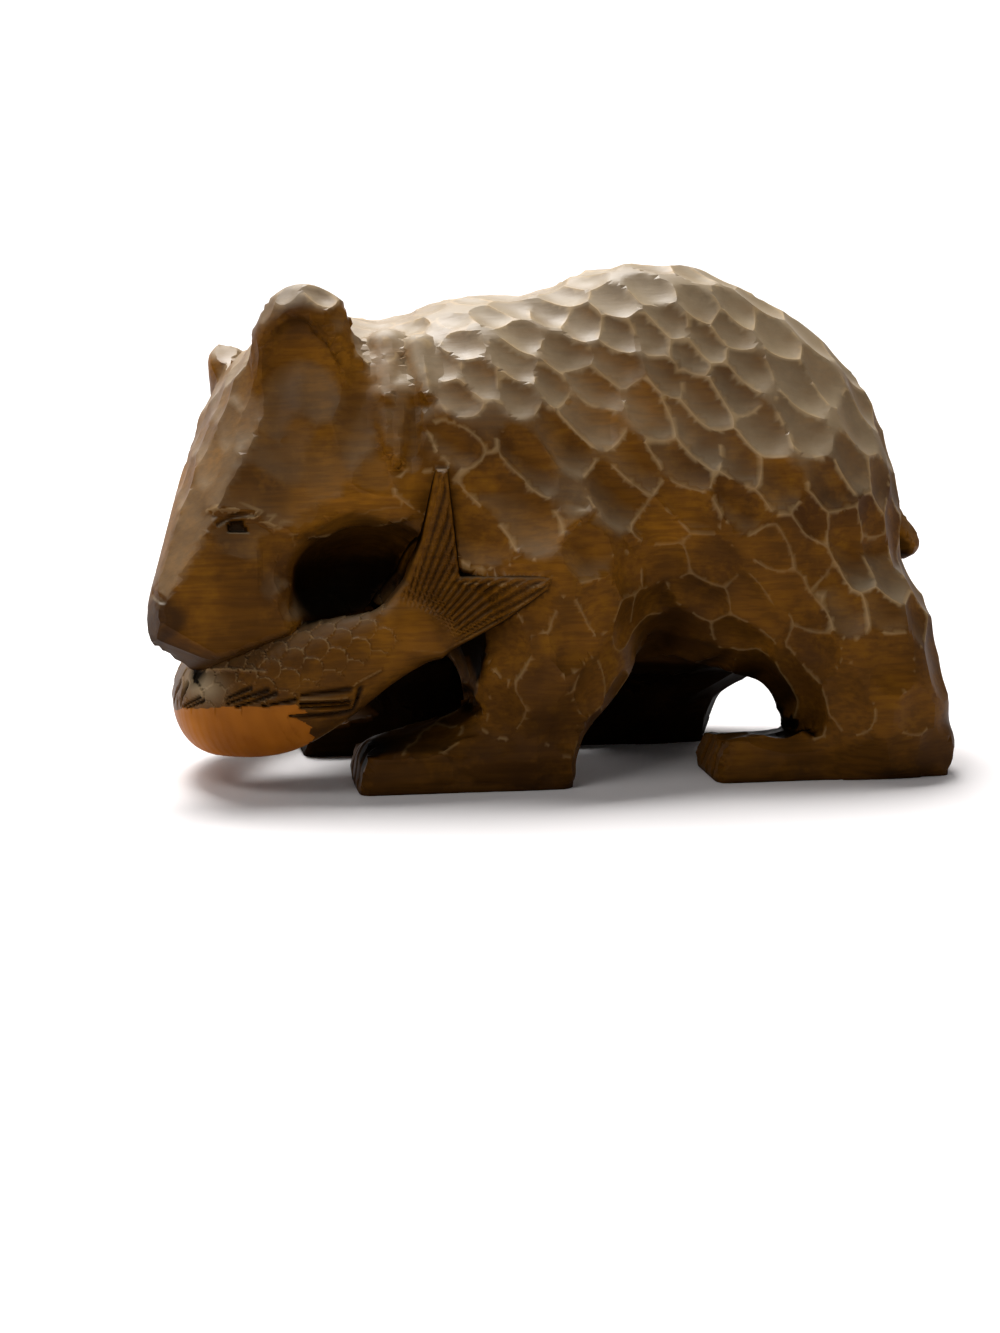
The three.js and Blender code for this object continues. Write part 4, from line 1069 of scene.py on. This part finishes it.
# %% What the looks depend on
metre = node("ShaderNodeTexCoord").outputs["Object"]
along_grain = node("ShaderNodeMapping", {"Vector": metre, "Scale": (90, 1100, 1100)}).outputs["Vector"]
streaks = noise(along_grain, 1.0, 3.0, 0.6)
cloud = noise(metre, 46.0, 3.0, 0.55)
patchy = noise(metre, 130.0, 4.0, 0.65)
facing, painted_shade_layer = layer("upward"), layer("shade_from_occlusion")
# Height, for painted shade darker towards the bottom.
height_for_painted_shade = maths("MULTIPLY", node("ShaderNodeSeparateXYZ", {"Vector": metre}).outputs["Z"], 20.0)
# Painted grey sheen on what faces up, made uneven, and the painted sheen spot on the salmon's cheek.
painted_sheen = ramp(facing, (0.60, 0.0), (0.72, 0.2), (0.87, 0.75), (1.0, 0.95))
painted_sheen = maths("MULTIPLY", painted_sheen, ramp(patchy, (0.3, 0.7), (0.6, 1.0)))
painted_sheen = maths("MAXIMUM", painted_sheen, layer("painted_sheen"))
# Pale rubbed ridges, more on what faces up, and the painted highlight in the eye.
rubbed_and_eye_highlight = maths("MULTIPLY", layer("wear_and_eye_highlight"), ramp(facing, (0.45, 0.5), (0.70, 1.0)))
belly_wood = ramp(cloud, (0.35, "#7A430A"), (0.65, "#A8651A"))

# %% Stain, painted shade and sheen, wear and varnish
stain = ramp(cloud, (0.32, "#482A08"), (0.50, "#663F0A"), (0.68, "#885610"))
stain = tint(stain, "#94600F", patchy, (0.50, 0.0), (0.72, 0.5))
stain = tint(stain, "#3A2006", streaks, (0.40, 0.35), (0.58, 0.0))
# Painted shade, darker towards the bottom.
stain = tint(stain, "#2A1805", height_for_painted_shade, (0.15, 0.45), (0.95, 0.0))
# The painted sheen's colour.
stain = mix(painted_sheen, stain, linear("#998668"))
# Painted shade on faces turned down.
stain = tint(stain, "#1E1003", facing, (0.12, 0.8), (0.48, 0.0))
stain = mix(ramp(layer("pale"), (0.4, 0.0), (0.6, 1.0)), stain, belly_wood)
# Pale colour for the worn ridges and for the painted eye highlight.
stain = tint(stain, "#C0A070", rubbed_and_eye_highlight, (0.25, 0.0), (1.0, 0.5))
# Painted shade in the strokes, grooves and small cuts.
stain = tint(stain, "#120902", layer("sunk"), (0.2, 0.0), (0.9, 0.85))
# Painted shade, nearly black in the hollows and under the body.
stain = tint(stain, "#060301", painted_shade_layer, (0.28, 0.0), (0.66, 0.98))
stain = tint(stain, "#20150D", layer("nose"), (0.3, 0.0), (0.8, 0.55))
rough = ramp(patchy, (0.3, 0.40), (0.7, 0.58))
shine = ramp(facing, (0.45, 0.05), (0.65, 0.12), (0.92, 0.45))
shine = maths("MULTIPLY", shine, ramp(painted_shade_layer, (0.15, 1.0), (0.5, 0.1)))
grain = maths("ADD", streaks, patchy)
bump = node("ShaderNodeBump", {"Height": grain, "Strength": 0.35, "Distance": 0.00012}).outputs["Normal"]
shader = node("ShaderNodeBsdfPrincipled", {"Base Color": stain, "Roughness": rough, "Normal": bump,
                                           "IOR": 1.5, "Specular IOR Level": shine})
node("ShaderNodeOutputMaterial", {"Surface": shader.outputs["BSDF"]})
carving.data.materials.clear()
carving.data.materials.append(wood_material)
carving.data.polygons.foreach_set("material_index", np.zeros(len(carving.data.polygons), np.int32))
print("material nodes:", len(tree.nodes))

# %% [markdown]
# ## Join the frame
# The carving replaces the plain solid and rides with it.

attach(carving, "root")
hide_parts("carved_bear")

# %% [markdown]
# ## Floor, light and camera
# A pale sweep stands for the studio table. One large soft light hangs above and a little behind, so the
# tops shine and the sides stay dark, a weak light fills the near side, and a third lights the sweep
# behind. The camera stands a little left of square, ten degrees up and half a metre away.

# %% Pale sweep
def pick_edges(test):
    """Select the edges of the sweep whose two ends pass a test."""
    edit = bmesh.from_edit_mesh(floor.data)
    for edge in edit.edges:
        edge.select = all(test(v) for v in edge.verts)
    bmesh.update_edit_mesh(floor.data)

bpy.ops.object.select_all(action="DESELECT")
bpy.ops.mesh.primitive_plane_add(size=1, location=(0, 0, 0))
floor = bpy.context.object
floor.name = "studio_sweep"
bpy.ops.object.mode_set(mode="EDIT")
bpy.ops.mesh.select_all(action="SELECT")
bpy.ops.transform.resize(value=(6, 3.2, 1))
bpy.ops.transform.translate(value=(0, 0.3, -0.00005))
bpy.ops.mesh.select_mode(type="EDGE")
bpy.ops.mesh.select_all(action="DESELECT")
pick_edges(lambda v: v.co.y > 1.8)
bpy.ops.mesh.extrude_region_move(TRANSFORM_OT_translate={"value": (0, 0, 2.4)})
pick_edges(lambda v: v.co.y > 1.8 and v.co.z < 0.1)
bpy.ops.mesh.bevel(offset=0.7, segments=12)
bpy.ops.object.mode_set(mode="OBJECT")
bpy.ops.object.shade_smooth()
paper = bpy.data.materials.new("pale paper sweep")
paper.use_nodes = True
matt = paper.node_tree.nodes["Principled BSDF"].inputs
matt["Base Color"].default_value = linear("#FBF7F6")
matt["Roughness"].default_value = 0.9
floor.data.materials.append(paper)
floor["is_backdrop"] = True
print("sweep faces:", len(floor.data.polygons))

# %% Soft lights
def soft_light(name, at, aim, size, power):
    bpy.ops.object.light_add(type="AREA", location=at)
    light = bpy.context.object
    light.name = name
    light.data.shape = "RECTANGLE"
    light.data.size, light.data.size_y = size
    light.data.energy = power
    light.rotation_euler = (Vector(aim) - Vector(at)).to_track_quat("-Z", "Y").to_euler()

soft_light("overhead softbox", (-0.12, 0.34, 0.9), (0, 0, 0.04), (0.6, 0.5), 15)
soft_light("near fill", (-0.45, -0.42, 0.75), (0, 0, 0.04), (0.4, 0.3), 1.5)
soft_light("backdrop light", (0, 0.8, 1.3), (0, 1.9, 0.75), (2.8, 0.8), 34)
world = bpy.data.worlds.new("studio")
bpy.context.scene.world = world
world.use_nodes = True
sky = world.node_tree.nodes["Background"].inputs
sky["Color"].default_value = (0.95, 0.97, 1.0, 1)
sky["Strength"].default_value = 0.12
bpy.context.scene.view_settings.view_transform = "Standard"

# %% Camera
azimuth, elevation = math.radians(-9), math.radians(10)
DISTANCE = 0.48                      # metres from the place it looks at
PIXELS_WIDE, FOCAL_PIXELS, SENSOR = 1000, 2394, 36
flat_part = math.cos(elevation)
toward = np.array([math.sin(azimuth) * flat_part, -math.cos(azimuth) * flat_part, math.sin(elevation)])
aim_at = (np.array([-9, 0, 18.5]) + CENTRE) / 1000
bpy.ops.object.camera_add(location=Vector(aim_at + toward * DISTANCE))
camera = bpy.context.object
right = unit(np.cross([0, 0, 1], toward))
above = np.cross(toward, right)
directions = np.stack([right, above, toward], 1)
rows = [[*row, at] for row, at in zip(directions, camera.location)]
camera.matrix_world = Matrix(rows + [[0, 0, 0, 1]])
camera.data.sensor_fit = "HORIZONTAL"
camera.data.sensor_width = SENSOR
camera.data.lens = FOCAL_PIXELS / PIXELS_WIDE * SENSOR
camera.data.clip_start = 0.01
bpy.context.scene.camera = camera
print("camera at", [round(v, 3) for v in camera.location], "lens", round(camera.data.lens, 1), "mm")

# %% [markdown]
# ## Measure and finish
# The box of what is shown, the sweep left out, is measured and printed.

# %% Measure
seen_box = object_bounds()
print("carving box in metres", [[round(v, 4) for v in corner] for corner in seen_box], round(time.time() - STARTED, 1), "s")
